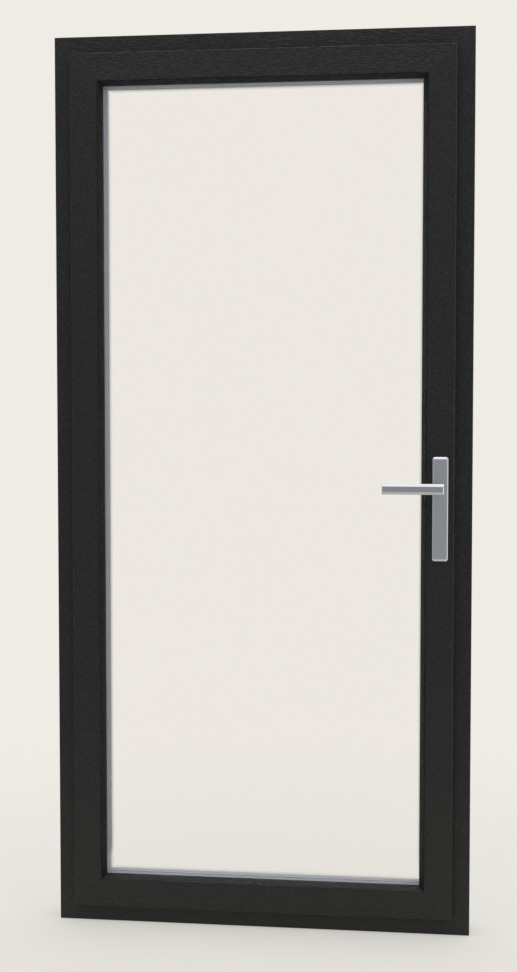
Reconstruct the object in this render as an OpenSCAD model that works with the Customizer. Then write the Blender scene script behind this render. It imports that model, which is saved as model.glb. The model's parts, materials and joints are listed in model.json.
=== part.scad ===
// Side-hung glass door leaf in its own outer frame, with sealed triple glazing.
//
// Frame: +X across the door, +Y from the room to the outside, +Z up. The
// origin is at the middle of the sill's underside. Profiles are drawn in
// (p, q): p runs inwards from the door's outer edge, q runs outwards from the
// frame's room-side face. The leaf hangs on the -X side and locks at +X.

/* [Door] */
// Overall width of the outer frame
door_w = 980; // [700:10:1300]
// Overall height of the outer frame
door_h = 2100; // [1700:10:2500]

/* [Outer frame] */
// Depth of the frame from the room to the outside
frame_depth = 82; // [78:1:100]
// Width of frame left in view beside the leaf
frame_face_w = 41; // [36:1:60]
// Wall thickness of the hollow sections
wall = 3; // [2.5:0.1:3.5]
// Height of the stop leg above the rebate
stop_h = 22; // [20:1:28]
// Thickness of the stop leg
stop_t = 16; // [12:1:18]
// Radius of the long rounded edges
edge_r = 2; // [1:0.5:2.5]

/* [Leaf] */
// How far the leaf's face stands in front of the frame's face
leaf_proud = 20; // [19:1:26]
// Width of the leaf's flat face
leaf_face_w = 64; // [62:1:90]
// How far the leaf's lip laps over the frame
lip_overlap = 8; // [7:0.5:9]
// Gap between the lip and the frame, filled by the seal
lip_gap = 4; // [3.5:0.5:5]
// Clear chamber between the frame's rebate and the leaf's edge
rebate_gap = 12; // [12:0.5:16]
// Gap between the leaf's outer face and the stop leg
stop_gap = 4; // [3:0.5:6]
// Width of the hardware groove round the leaf's edge
groove_w = 16; // [15:1:18]
// Depth of the hardware groove
groove_deep = 4; // [4:0.5:5]
// Middle of the hardware groove behind the frame's face
groove_q = 15; // [14:1:18]

/* [Glazing] */
// Width of the glazing bead that shows
bead_w = 11; // [9:1:18]
// Depth from the leaf's face to the glass
bead_depth = 17; // [15:1:19]
// Step from the bead's seat down to the glass rebate
bead_step = 7; // [5:1:9]
// Thickness of each pane
pane_t = 4; // [4:1:6]
// Width of each sealed cavity between panes
cavity = 18; // [12:1:18]
// Thickness of the glazing seals
glazing_seal = 3; // [2:0.5:4]
// Clearance between the glass edge and its rebate
glass_clear = 5; // [4:0.5:6]
// Height of the spacer bar section
spacer_h = 8; // [6:0.5:9]

/* [Reinforcement] */
// Wall thickness of the steel tubes
steel_t = 2; // [1.5:0.5:2.5]
// Clearance round the steel tubes
steel_clear = 0.5; // [0.3:0.1:0.8]

/* [Hinges] */
// Hinge axis inwards from the lip's edge
hinge_inset = 8; // [7.5:0.5:8]
// Hinge axis behind the leaf's face
hinge_back = 8; // [8:0.5:9]
// Bearing height above the sill's underside, and below the head's top
hinge_from_end = 70; // [66:1:120]
// Radius of the hinge pins
pin_r = 3.5; // [3:0.5:3.5]
// Radius of the bracket eye and the hinge block's nose
eye_r = 6; // [5.5:0.5:6]
// Thickness of the bracket arm
arm_t = 8; // [6:1:10]
// Thickness of the bearing washer
washer_t = 1.5; // [1:0.5:2]
// Height of the hinge block
block_h = 30; // [24:2:40]
// Thickness of the hinge plates
plate_t = 4; // [3:0.5:4]

/* [Lock] */
// Height of the lever's axis above the sill's underside
handle_z = 1050; // [900:10:1100]
// Lever's axis inwards from the leaf's edge
backset = 12; // [12:0.5:13]
// Gear module of the pinion and rack
gear_m = 1.25; // [1.25:0.05:1.25]
// Number of pinion teeth
pinion_teeth = 12; // [12:1:12]
// Thickness of the faceplate
faceplate_t = 2.5; // [2:0.5:2.5]
// Width of the sliding rod
rod_w = 12; // [10:1:12]
// Radius of the locking rollers
roller_r = 4; // [3.5:0.5:4]
// Lowest roller above the sill, and highest below the head
roller_from_end = 350; // [300:10:450]
// Middle roller below the lever's axis
roller_below_handle = 200; // [150:10:250]
// Ends of the rod and faceplate inside the frame's ends
rod_from_end = 150; // [130:10:180]

/* [Handle] */
// Width of the backplate
backplate_w = 36; // [32:1:40]
// Height of the backplate
backplate_h = 240; // [200:5:280]
// Lever's axis below the top of the backplate
backplate_above = 72; // [60:1:90]
// Thickness of the backplate cover
backplate_t = 9; // [8:1:12]
// Reach of the lever beyond its axis
lever_reach = 132; // [100:1:150]
// Height of the lever bar
lever_h = 24.6; // [20:0.2:28]
// Depth of the lever bar
lever_d = 13; // [10:1:16]
// Front of the lever in front of the leaf's face
lever_out = 56; // [50:1:70]
// Radius of the lever's neck
neck_r = 9.5; // [8.5:0.5:9.5]
// Side of the square spindle
spindle_w = 7; // [7:1:7]

/* [Fixings] */
// Radius of the holes for the wall fixings
fixing_r = 5.1; // [4:0.1:5.5]
// End fixings from the frame's ends
fixing_from_end = 200; // [180:10:250]
// Spacing of the two middle fixings in a jamb
fixing_middle = 580; // [400:10:600]
// Spacing of the two fixings in the head
fixing_head = 400; // [300:10:500]

/* [Hidden] */
$fn = 48;

// Clearances
run = 0.05;       // between a shaft and the bore it turns in
snug = 0.02;      // between a pin and the eye that grips it
seat_gap = 0.3;   // between a seal and the face that it closes on
slide_gap = 0.1;  // between the sliding rod and what guides it
hole_gap = 0.1;   // between a screw and its hole

// Section lines, measured inwards from the door's edge
p_lip = frame_face_w;
p_rebate = p_lip + lip_overlap;
p_body = p_rebate + rebate_gap;
p_stop = p_rebate + stop_h;
p_bead = p_lip + leaf_face_w;
p_floor = p_bead - bead_step;
p_sight = p_bead + bead_w;
p_glass = p_floor + glass_clear;
p_groove = p_body + groove_deep;

// Section lines, measured outwards from the frame's room-side face
q_leaf = -leaf_proud;
q_lip = -lip_gap;
q_stop = frame_depth - stop_t;
q_leaf_out = q_stop - stop_gap;
q_glass = q_leaf + bead_depth;
unit_t = 3 * pane_t + 2 * cavity;
q_glass_out = q_glass + unit_t;
q_leg = q_glass_out + glazing_seal;
q_bead_back = q_glass - glazing_seal;
q_bead_seat = q_leaf + 2 * wall;
big = 4 * frame_depth;

// Hollows
web = wall;
frame_box = [[p_rebate - wall - 34, 15], [p_rebate - wall, q_stop - web]];
sash_box = [[p_groove + wall, q_lip], [p_floor - wall, q_leg]];
frame_steel_from = p_rebate + 5;
sash_steel_from = p_floor + 2;

// Hinge
hinge_p = p_lip + hinge_inset;
hinge_q = q_leaf + hinge_back;
arm_w = eye_r;
bearing_gap = 0.2;
block_z = hinge_from_end + washer_t + bearing_gap;
pocket_front = q_leaf + wall - 1.2;
pocket_clear = 1.5;
hinge_plate_q = [4, 34];
hinge_plate_h = 60;
bracket_screw_z = [14, 32, 50];
block_screw_z = [8, 22];
block_screw_q = 27;
block_flange_q = 31;

// Lock
lock_p = p_body + backset;
pitch_r = gear_m * pinion_teeth / 2;
pressure = 25;
addendum = 0.9 * gear_m;
dedendum = 1.25 * gear_m;
backlash = 0.15;
tooth_pitch = PI * gear_m;
travel = pitch_r * PI / 2;
rack_p = lock_p - pitch_r;
faceplate_p = p_groove - 2.8 - faceplate_t;
rod_p = faceplate_p + faceplate_t + slide_gap;
rod_t = p_groove - 0.2 - rod_p;
stem_r = roller_r - 1.1;
roller_tip = faceplate_p - 6.2;
roller_zs = [roller_from_end, handle_z - roller_below_handle, door_h - roller_from_end];
face_screw_zs = [rod_from_end + 50, handle_z - 400, handle_z + 400, door_h - rod_from_end - 50];
case_front = p_groove + 0.2;
case_w = 21;
case_q = [groove_q - 11, groove_q + 11];
case_half_h = 36;
case_floor = 4.5;
rack_room = 26;
rack_from = 25;
rack_to = 12;
gear_t = 12;
hub_r = 7;
post_z = 31;
post_r = 2.5;
bolt_z = 21.5;
bolt_r = 2.5;
cover_screw_z = 28;

// Drains: slot height and length, and the cap's height, depth and length
drain_slot = [5, 25];
drain_cap = [12, 3, 34];

// Keeps
keep_base_t = 2.5;
keep_span = [-24, 42];
keep_hook_span = [-5.5, 9];
keep_screw_ends = [-16, 34];
keep_hook_t = 4;
keep_hook_p = faceplate_p - 2.2;
keep_hook_q = groove_q - roller_r - 0.5 - keep_hook_t;

// Screws
screw_r = 2;
screw_head_r = 4;
screw_len = 16;

// Handle
base_t = 2.5;
cover_wall = 1.6;
cover_bevel = 4;
neck_end = 9.6;
lever_bevel_z = 6;
lever_bevel_q = 4;
lever_back_bevel = 1.5;
q_lever = q_leaf - lever_out;
spindle_in = 32;
grub_r = 2;

foil = [0.16, 0.16, 0.165];
zinc = [0.72, 0.73, 0.75];
black = [0.06, 0.06, 0.06];
satin = [0.60, 0.61, 0.64];
clear = [0.80, 0.88, 0.87, 0.35];

// ---- Helpers ---------------------------------------------------------------

// Points of an arc about c
function arc(c, r, from, to, steps = 4) =
    [for (i = [0:steps]) let (a = from + (to - from) * i / steps) c + r * [cos(a), sin(a)]];

// Local (p, q, z) on the hinge side
module hinge_side() { translate([-door_w / 2, -frame_depth / 2, 0]) children(); }

// Local (p, q, z) on the lock side: p grows towards the hinges
module lock_side() { mirror([1, 0, 0]) hinge_side() children(); }

// Local (p, q, length) along the bottom
module bottom_side() {
    translate([-door_w / 2, -frame_depth / 2, 0]) mirror([1, 0, -1]) children();
}

// Local (p, q, length) along the top
module top_side() {
    translate([0, 0, door_h]) mirror([0, 0, 1]) bottom_side() children();
}

// What is drawn for the lower hinge, turned over for the upper one
module at_upper() { translate([0, 0, door_h]) mirror([0, 0, 1]) children(); }

// A section carried along one side and cut at 45 degrees at both ends
module mitred(length) {
    intersection() {
        linear_extrude(length) children();
        translate([0, big / 2, 0]) rotate([90, 0, 0]) linear_extrude(big)
            polygon([[-1, -1], [big, big], [big, length - big], [-1, length + 1]]);
    }
}

// A rectangular hollow given by two corners
module box2(corners) {
    translate(corners[0]) square(corners[1] - corners[0]);
}

// A box given by two corners in (p, q, z)
module box3(low, high) {
    translate(low) cube(high - low);
}

// A slab that fills the door's outline from p inwards, between two depths
module slab(p, q0, q1) {
    translate([-door_w / 2 + p, -frame_depth / 2 + q0, p])
        cube([door_w - 2 * p, q1 - q0, door_h - 2 * p]);
}

// A closed rectangular ring of constant section
module ring(p0, p1, q0, q1) {
    difference() {
        slab(p0, q0, q1);
        slab(p1, q0 - 1, q1 + 1);
    }
}

// A cylinder along p
module along_p(r, from, to) {
    translate([from, 0, 0]) rotate([0, 90, 0]) cylinder(r = r, h = to - from);
}

// A cylinder along q
module along_q(r, from, to) {
    translate([0, from, 0]) rotate([-90, 0, 0]) cylinder(r = r, h = to - from);
}

// A countersunk screw along p: its head lies in the face at p = 0
module screw_p() {
    rotate([0, 90, 0]) {
        cylinder(r1 = screw_head_r, r2 = screw_r, h = screw_r);
        cylinder(r = screw_r, h = screw_len - 3);
        translate([0, 0, screw_len - 3]) cylinder(r1 = screw_r, r2 = 0.5, h = 3);
    }
}

// The hole that such a screw passes through, head seat included
module screw_hole_p() {
    rotate([0, 90, 0]) {
        translate([0, 0, -1]) cylinder(r = screw_head_r + hole_gap, h = 1.01);
        cylinder(r1 = screw_head_r + hole_gap, r2 = screw_r + hole_gap, h = screw_r);
        cylinder(r = screw_r + hole_gap, h = screw_len + 1);
    }
}

// A tube that fills a hollow with a clearance, from one length to another
module steel_tube(hollow, from, to) {
    inset = [steel_clear, steel_clear];
    inner = inset + [steel_t, steel_t];
    translate([0, 0, from]) linear_extrude(to - from) difference() {
        box2([hollow[0] + inset, hollow[1] - inset]);
        box2([hollow[0] + inner, hollow[1] - inner]);
    }
}

// ---- Screw places ----------------------------------------------------------

// Screws of a hinge bracket, heads on the plate
module bracket_screw_sites() {
    for (z = bracket_screw_z)
        translate([p_rebate + plate_t, (hinge_plate_q[0] + hinge_plate_q[1]) / 2, hinge_from_end + z])
            mirror([1, 0, 0]) children();
}

// Screws of a hinge block, heads on the flange
module block_screw_sites() {
    for (z = block_screw_z)
        translate([p_body - plate_t, block_screw_q, block_z + z]) children();
}

// Screws of the three keeps, heads on the base
module keep_screw_sites(z) {
    for (end = keep_screw_ends)
        translate([p_rebate + keep_base_t, groove_q + 10, z + end]) mirror([1, 0, 0]) children();
}

// Screws of the faceplate, heads in its outer face
module face_screw_sites() {
    for (z = face_screw_zs) translate([faceplate_p, groove_q, z]) children();
}

// Wall fixings in a jamb: full holes through the section
module jamb_fixings() {
    zs = [fixing_from_end, door_h / 2 - fixing_middle / 2,
        door_h / 2 + fixing_middle / 2, door_h - fixing_from_end];
    for (z = zs)
        translate([0, (frame_box[0][1] + frame_box[1][1]) / 2, z])
            along_p(fixing_r, -1, p_rebate + 1);
}

// Wall fixings in the head
module head_fixings() {
    for (side = [-1, 1])
        translate([0, (frame_box[0][1] + frame_box[1][1]) / 2, door_w / 2 + side * fixing_head / 2])
            along_p(fixing_r, -1, p_rebate + 1);
}

// ---- Outer frame -----------------------------------------------------------

// Section of the outer frame with its hollows
module frame_profile() {
    difference() {
        polygon(concat(
            arc([edge_r, edge_r], edge_r, 180, 270),
            [[p_rebate - 0.5, 0], [p_rebate, 0.5], [p_rebate, q_stop], [p_stop - edge_r, q_stop]],
            arc([p_stop - edge_r, q_stop + edge_r], edge_r, 270, 360),
            [[p_stop - 2, frame_depth], [0, frame_depth]]));
        box2([[wall, wall], [p_rebate - wall, 15 - web]]);
        box2([[wall, 15], [frame_box[0][0] - web, q_stop - web]]);
        box2(frame_box);
        box2([[wall, q_stop], [p_stop - 2 * wall, frame_depth - wall]]);
    }
}

module frame_head() {
    color(foil) top_side() difference() {
        mitred(door_w) frame_profile();
        head_fixings();
    }
}

module drain_sites() {
    for (side = [-1, 1])
        translate([(wall + p_rebate) / 2, frame_depth, door_w / 2 + side * door_w / 4]) children();
}

module frame_sill() {
    color(foil) bottom_side() difference() {
        mitred(door_w) frame_profile();
        drain_sites() translate([-drain_slot[0] / 2, -wall - 1, -drain_slot[1] / 2])
            cube([drain_slot[0], wall + 2, drain_slot[1]]);
    }
}

module frame_hinge_jamb() {
    color(foil) hinge_side() difference() {
        mitred(door_h) frame_profile();
        jamb_fixings();
        bracket_screw_sites() screw_hole_p();
        at_upper() bracket_screw_sites() screw_hole_p();
    }
}

module frame_lock_jamb() {
    color(foil) lock_side() difference() {
        mitred(door_h) frame_profile();
        jamb_fixings();
        for (z = roller_zs) keep_screw_sites(z) screw_hole_p();
    }
}

module head_steel() {
    color(zinc) top_side() difference() {
        steel_tube(frame_box, frame_steel_from, door_w - frame_steel_from);
        head_fixings();
    }
}

module sill_steel() {
    color(zinc) bottom_side()
        steel_tube(frame_box, frame_steel_from, door_w - frame_steel_from);
}

module hinge_jamb_steel() {
    color(zinc) hinge_side() difference() {
        steel_tube(frame_box, frame_steel_from, door_h - frame_steel_from);
        jamb_fixings();
        bracket_screw_sites() screw_hole_p();
        at_upper() bracket_screw_sites() screw_hole_p();
    }
}

module lock_jamb_steel() {
    color(zinc) lock_side() difference() {
        steel_tube(frame_box, frame_steel_from, door_h - frame_steel_from);
        jamb_fixings();
        for (z = roller_zs) keep_screw_sites(z) screw_hole_p();
    }
}

// Seal on the stop leg that the leaf's outer face closes on
module frame_gasket() {
    color(black) ring(p_body + 1, p_stop - 3, q_leaf_out + seat_gap, q_stop);
}

// Cover over a drain slot
module drain_caps() {
    color(foil) bottom_side() drain_sites() difference() {
        translate([-drain_cap[0] / 2, 0, -drain_cap[2] / 2]) cube(drain_cap);
        translate([-drain_cap[0] / 2 - 1, -1, 2 - drain_cap[2] / 2])
            cube([drain_cap[0] - 1, drain_cap[1] - 0.4, drain_cap[2] - 4]);
    }
}

// ---- Keeps -----------------------------------------------------------------

// Base on the rebate and a hook that the roller slides behind
module keep(z) {
    color(zinc) lock_side() difference() {
        union() {
            box3([p_rebate, keep_hook_q, z + keep_span[0]],
                [p_rebate + keep_base_t, groove_q + groove_w, z + keep_span[1]]);
            box3([p_rebate, keep_hook_q, z + travel + keep_hook_span[0]],
                [keep_hook_p, keep_hook_q + keep_hook_t, z + travel + keep_hook_span[1]]);
        }
        keep_screw_sites(z) screw_hole_p();
    }
}

module lower_keep() { keep(roller_zs[0]); }
module middle_keep() { keep(roller_zs[1]); }
module upper_keep() { keep(roller_zs[2]); }

// ---- Hinges ----------------------------------------------------------------

// Plate on the frame's rebate with an arm that reaches the axis
module hinge_bracket() {
    color(zinc) hinge_side() difference() {
        union() {
            translate([0, 0, hinge_from_end - arm_t]) linear_extrude(arm_t) union() {
                translate([hinge_p, hinge_q]) circle(eye_r);
                box2([[hinge_p, hinge_q], [hinge_p + arm_w, 0.01]]);
                box2([[p_rebate, 0], [hinge_p + arm_w, hinge_plate_q[0] + plate_t]]);
            }
            box3([p_rebate, hinge_plate_q[0], hinge_from_end - arm_t],
                [p_rebate + plate_t, hinge_plate_q[1], hinge_from_end + hinge_plate_h]);
        }
        translate([hinge_p, hinge_q, 0]) cylinder(r = pin_r + snug, h = 2 * hinge_from_end);
        bracket_screw_sites() screw_hole_p();
    }
}

// Pin gripped by the bracket's eye, standing in the hinge block
module hinge_pin() {
    top = block_z + block_h - 2;
    color(satin) hinge_side() translate([hinge_p, hinge_q, hinge_from_end - arm_t]) {
        cylinder(r = pin_r, h = top - hinge_from_end + arm_t - 1);
        translate([0, 0, top - hinge_from_end + arm_t - 1])
            cylinder(r1 = pin_r, r2 = pin_r - 1, h = 1);
    }
}

module hinge_washer() {
    hinge_side() translate([hinge_p, hinge_q, hinge_from_end]) difference() {
        cylinder(r = eye_r, h = washer_t);
        translate([0, 0, -1]) cylinder(r = pin_r + run, h = washer_t + 2);
    }
}

// Block in the lip's pocket, with a flange on the leaf's edge
module hinge_block() {
    color(zinc) hinge_side() difference() {
        union() {
            translate([0, 0, block_z]) linear_extrude(block_h) union() {
                translate([hinge_p, hinge_q]) circle(eye_r);
                box2([[hinge_p, hinge_q - eye_r], [p_body, q_lip - 0.5]]);
                box2([[p_body - plate_t, q_lip - 1], [p_body, block_flange_q]]);
            }
        }
        translate([hinge_p, hinge_q, block_z - 1]) cylinder(r = pin_r + run, h = block_h + 2);
        block_screw_sites() screw_hole_p();
    }
}

// Room for the arm and the block in the leaf's lip
module hinge_pocket() {
    arm_low = hinge_from_end - arm_t - pocket_clear;
    box3([p_lip - 2, pocket_front, arm_low], [p_body, q_lip + 1, block_z]);
    box3([p_lip + 1, pocket_front, block_z - 0.01], [p_body, q_lip + 1, block_z + block_h + pocket_clear]);
}

module lower_hinge_bracket() { hinge_bracket(); }
module upper_hinge_bracket() { at_upper() hinge_bracket(); }
module lower_hinge_pin() { hinge_pin(); }
module upper_hinge_pin() { at_upper() hinge_pin(); }
module hinge_washers() {
    color("white") {
        hinge_washer();
        at_upper() hinge_washer();
    }
}
module lower_hinge_block() { hinge_block(); }
module upper_hinge_block() { at_upper() hinge_block(); }

module frame_screws() {
    color(zinc) {
        hinge_side() bracket_screw_sites() screw_p();
        at_upper() hinge_side() bracket_screw_sites() screw_p();
        lock_side() for (z = roller_zs) keep_screw_sites(z) screw_p();
    }
}

// ---- Leaf ------------------------------------------------------------------

// Section of the leaf with its lip, groove, bead seat and outer leg
module sash_profile() {
    lip_r = edge_r + 0.5;
    difference() {
        polygon(concat(
            arc([p_lip + lip_r, q_leaf + lip_r], lip_r, 180, 270),
            [[p_bead - 0.5, q_leaf], [p_bead, q_leaf + 0.5], [p_bead, q_bead_seat],
                [p_floor, q_bead_seat], [p_floor, q_leg], [p_sight - 2, q_leg],
                [p_sight - 8, q_leaf_out], [p_body, q_leaf_out],
                [p_body, groove_q + groove_w / 2], [p_groove, groove_q + groove_w / 2],
                [p_groove, groove_q - groove_w / 2], [p_body, groove_q - groove_w / 2],
                [p_body, q_lip]],
            arc([p_lip + edge_r, q_lip - edge_r], edge_r, 90, 180)));
        box2([[p_lip + wall, q_leaf + wall], [p_floor - wall, q_lip - wall]]);
        box2(sash_box);
        box2([[p_body + wall, q_leg + wall], [p_floor - wall, q_leaf_out - wall]]);
    }
}

module sash_top_rail() { color(foil) top_side() mitred(door_w) sash_profile(); }
module sash_bottom_rail() { color(foil) bottom_side() mitred(door_w) sash_profile(); }

module sash_hinge_stile() {
    color(foil) hinge_side() difference() {
        mitred(door_h) sash_profile();
        hinge_pocket();
        at_upper() hinge_pocket();
        block_screw_sites() screw_hole_p();
        at_upper() block_screw_sites() screw_hole_p();
    }
}

// Room for the gear case in the lock stile
module case_pocket() {
    box3([p_body - 1, case_q[0] - 0.3, handle_z - case_half_h - 0.5],
        [case_front + case_w + 0.5, case_q[1] + 0.3, handle_z + case_half_h + 0.5]);
}

// Holes for the spindle and the backplate's bolts, from the face to the case
module handle_holes() {
    translate([lock_p, 0, handle_z]) {
        along_q(neck_r, q_leaf - 1, case_q[0]);
        for (side = [-1, 1])
            translate([0, 0, side * bolt_z]) along_q(bolt_r + 0.5, q_leaf - 1, case_q[0]);
    }
}

module sash_lock_stile() {
    color(foil) lock_side() difference() {
        mitred(door_h) sash_profile();
        case_pocket();
        handle_holes();
        face_screw_sites() screw_hole_p();
    }
}

module top_rail_steel() {
    color(zinc) top_side() steel_tube(sash_box, sash_steel_from, door_w - sash_steel_from);
}

module bottom_rail_steel() {
    color(zinc) bottom_side() steel_tube(sash_box, sash_steel_from, door_w - sash_steel_from);
}

module hinge_stile_steel() {
    color(zinc) hinge_side() difference() {
        steel_tube(sash_box, sash_steel_from, door_h - sash_steel_from);
        block_screw_sites() screw_hole_p();
        at_upper() block_screw_sites() screw_hole_p();
    }
}

module lock_stile_steel() {
    color(zinc) lock_side() difference() {
        steel_tube(sash_box, sash_steel_from, door_h - sash_steel_from);
        case_pocket();
        handle_holes();
        face_screw_sites() screw_hole_p();
    }
}

// Seal behind the lip. It lies near the hinge axis, so that the swing only
// lifts it off the frame, and stops either side of each bracket arm.
module sash_gasket() {
    low = hinge_from_end - arm_t - pocket_clear;
    color(black) difference() {
        ring(p_rebate - 2.2, p_rebate + 1.5, q_lip, -seat_gap);
        hinge_side() box3([p_lip, q_lip - 1, low], [p_body, 1, block_z + block_h + pocket_clear]);
        at_upper() hinge_side()
            box3([p_lip, q_lip - 1, low], [p_body, 1, block_z + block_h + pocket_clear]);
    }
}

// ---- Glazing ---------------------------------------------------------------

// Sloping bead with a foot that stands in the glass rebate
module bead_profile() {
    nose = 1.2;
    difference() {
        polygon([[p_bead + 0.1, q_leaf + 0.5], [p_bead + 0.6, q_leaf], [p_bead + nose, q_leaf],
            [p_sight, q_bead_back - 1], [p_sight, q_bead_back], [p_floor + 0.1, q_bead_back],
            [p_floor + 0.1, q_bead_seat + 0.1], [p_bead + 0.1, q_bead_seat + 0.1]]);
        polygon([[p_bead + 2, q_leaf + 4], [p_sight - 3, q_bead_back - 1.8],
            [p_bead + 2, q_bead_back - 1.8]]);
    }
}

module top_bead() { color(foil) top_side() mitred(door_w) bead_profile(); }
module bottom_bead() { color(foil) bottom_side() mitred(door_w) bead_profile(); }
module hinge_bead() { color(foil) hinge_side() mitred(door_h) bead_profile(); }
module lock_bead() { color(foil) lock_side() mitred(door_h) bead_profile(); }

module bead_gasket() { color(black) ring(p_sight - 8, p_sight, q_bead_back, q_glass); }
module outer_glazing_gasket() {
    color(black) ring(p_sight - 8, p_sight - 1.5, q_glass_out, q_leg);
}

module pane(n) {
    q = q_glass + n * (pane_t + cavity);
    color(clear) slab(p_glass, q, q + pane_t);
}

module inner_pane() { pane(0); }
module middle_pane() { pane(1); }
module outer_pane() { pane(2); }

module spacer(n) {
    q = q_glass + pane_t + n * (pane_t + cavity);
    color([0.45, 0.46, 0.47]) ring(p_sight - spacer_h + 0.3, p_sight + 0.3, q, q + cavity);
}

module inner_spacer() { spacer(0); }
module outer_spacer() { spacer(1); }

// Sealant between the spacers and the glass edge
module edge_seal() {
    color(black) for (n = [0, 1]) {
        q = q_glass + pane_t + n * (pane_t + cavity);
        ring(p_glass, p_sight - spacer_h + 0.3, q, q + cavity);
    }
}

// Packers between the glass edge and the leaf's rebate
module setting_blocks() {
    long = 100;
    from_end = p_floor + 40;
    module block(at) { box3([p_floor, q_glass, at], [p_glass, q_glass_out, at + long]); }
    color("royalblue") {
        bottom_side() {
            block(from_end);
            block(door_w - from_end - long);
        }
        top_side() {
            block(from_end);
            block(door_w - from_end - long);
        }
        hinge_side() block(from_end);
        lock_side() block(door_h - from_end - long);
    }
}

// ---- Lock ------------------------------------------------------------------

// A slot along z for a stem that travels up from z, seen along p
module travel_slot(r, z0, z1) {
    for (z = [z0, z1]) translate([0, groove_q, z]) along_p(r, faceplate_p - 1, p_groove + 1);
    box3([faceplate_p - 1, groove_q - r, z0], [p_groove + 1, groove_q + r, z1]);
}

module faceplate() {
    color(satin) lock_side() difference() {
        box3([faceplate_p, groove_q - groove_w / 2 + 0.1, rod_from_end],
            [faceplate_p + faceplate_t, groove_q + groove_w / 2 - 0.1, door_h - rod_from_end]);
        for (z = roller_zs) travel_slot(stem_r + 0.3, z - 0.5, z + travel + 0.5);
        face_screw_sites() screw_hole_p();
    }
}

// Half angle of a pinion tooth at radius r
function involute(a) = tan(a) * 180 / PI - a;
function half_tooth(r) =
    let (base = pitch_r * cos(pressure),
        at_pitch = (tooth_pitch / 2 - backlash) / (2 * pitch_r) * 180 / PI)
    at_pitch + involute(pressure) - (r > base ? involute(acos(base / r)) : 0);

module pinion_profile() {
    root = pitch_r - dedendum;
    tip = pitch_r + addendum;
    base = pitch_r * cos(pressure);
    steps = 5;
    rs = concat([root], [for (i = [0:steps]) base + (tip - base) * i / steps]);
    count = len(rs);
    polygon([for (t = [0:pinion_teeth - 1], side = [-1, 1], i = [0:count - 1])
        let (r = side < 0 ? rs[i] : rs[count - 1 - i],
            a = 180 + t * 360 / pinion_teeth + side * half_tooth(r))
        r * [cos(a), sin(a)]]);
}

// Pinion on the square spindle, turning in the case and its cover
module pinion() {
    color("goldenrod") lock_side() translate([lock_p, groove_q, handle_z]) difference() {
        union() {
            translate([0, gear_t / 2, 0]) rotate([90, 0, 0]) linear_extrude(gear_t) pinion_profile();
            along_q(hub_r, -gear_t / 2 - 4, -gear_t / 2 + 0.01);
            along_q(hub_r, gear_t / 2 - 0.01, gear_t / 2 + 4);
        }
        cube([spindle_w + 0.1, 2 * case_w, spindle_w + 0.1], center = true);
    }
}

// Teeth of the rack, with a gap opposite the pinion's axis at rest
module rack_profile() {
    top = rack_p + addendum;
    root = rack_p - dedendum;
    half = (tooth_pitch / 2 - backlash) / 2;
    for (k = [-6:2]) {
        z = (k + 0.5) * tooth_pitch;
        polygon([[root - 0.1, z - half - (dedendum + 0.1) * tan(pressure)],
            [top, z - half + addendum * tan(pressure)], [top, z + half - addendum * tan(pressure)],
            [root - 0.1, z + half + (dedendum + 0.1) * tan(pressure)]]);
    }
}

// Flat rod behind the faceplate, with the rack and slots for what crosses it
module drive_rod() {
    root = rack_p - dedendum;
    color(zinc) lock_side() difference() {
        union() {
            box3([rod_p, groove_q - rod_w / 2, rod_from_end + 5],
                [rod_p + rod_t, groove_q + rod_w / 2, handle_z - rack_from]);
            box3([rod_p, groove_q - rod_w / 2, handle_z - rack_from - 0.01],
                [root, groove_q + rod_w / 2, handle_z + rack_to + 0.01]);
            box3([rod_p, groove_q - rod_w / 2, handle_z + rack_to],
                [rod_p + rod_t, groove_q + rod_w / 2, door_h - rod_from_end - 5 - travel]);
            translate([0, groove_q + gear_t / 2 - 1, handle_z]) rotate([90, 0, 0])
                linear_extrude(gear_t - 2) rack_profile();
        }
        for (z = face_screw_zs) travel_slot(screw_r + 0.6, z - travel - 0.5, z + 0.5);
        for (side = [-1, 1])
            travel_slot(post_r + 0.3, handle_z + side * post_z - travel - 0.5,
                handle_z + side * post_z + 0.5);
        for (z = roller_zs) translate([0, groove_q, z]) along_p(stem_r - 0.9 + snug, rod_p - 1, p_body + 9);
    }
}

// Rollers on stems riveted through the rod
module locking_rollers() {
    color(satin) lock_side() for (z = roller_zs) translate([0, groove_q, z]) {
        along_p(roller_r, roller_tip, faceplate_p - 0.3);
        along_p(stem_r, faceplate_p - 0.31, rod_p);
        along_p(stem_r - 0.9, rod_p - 0.01, rod_p + rod_t);
    }
}

// Open box round the pinion, with posts that reach the faceplate
module gear_case() {
    color(zinc) lock_side() difference() {
        union() {
            box3([case_front, case_q[0] + case_floor, handle_z - case_half_h],
                [case_front + case_w, case_q[1], handle_z + case_half_h]);
            for (side = [-1, 1])
                translate([0, groove_q, handle_z + side * post_z])
                    along_p(post_r, faceplate_p + faceplate_t, case_front + 1);
        }
        translate([lock_p, 0, handle_z]) {
            along_q(pitch_r + addendum + 0.6, case_q[0], case_q[1] - case_floor);
            along_q(hub_r + run, groove_q, case_q[1] + 1);
        }
        box3([case_front - 1, case_q[0], handle_z - rack_room],
            [lock_p, case_q[1] - case_floor, handle_z + rack_room]);
        for (side = [-1, 1]) translate([lock_p, 0, handle_z + side * bolt_z])
            along_q(bolt_r + hole_gap, case_q[0], case_q[1] + 1);
        cover_screw_sites() along_q(screw_r + hole_gap, 0, 16);
    }
}

module cover_screw_sites() {
    for (side = [-1, 1])
        translate([lock_p + 8.5, case_q[0], handle_z + side * cover_screw_z]) children();
}

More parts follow.
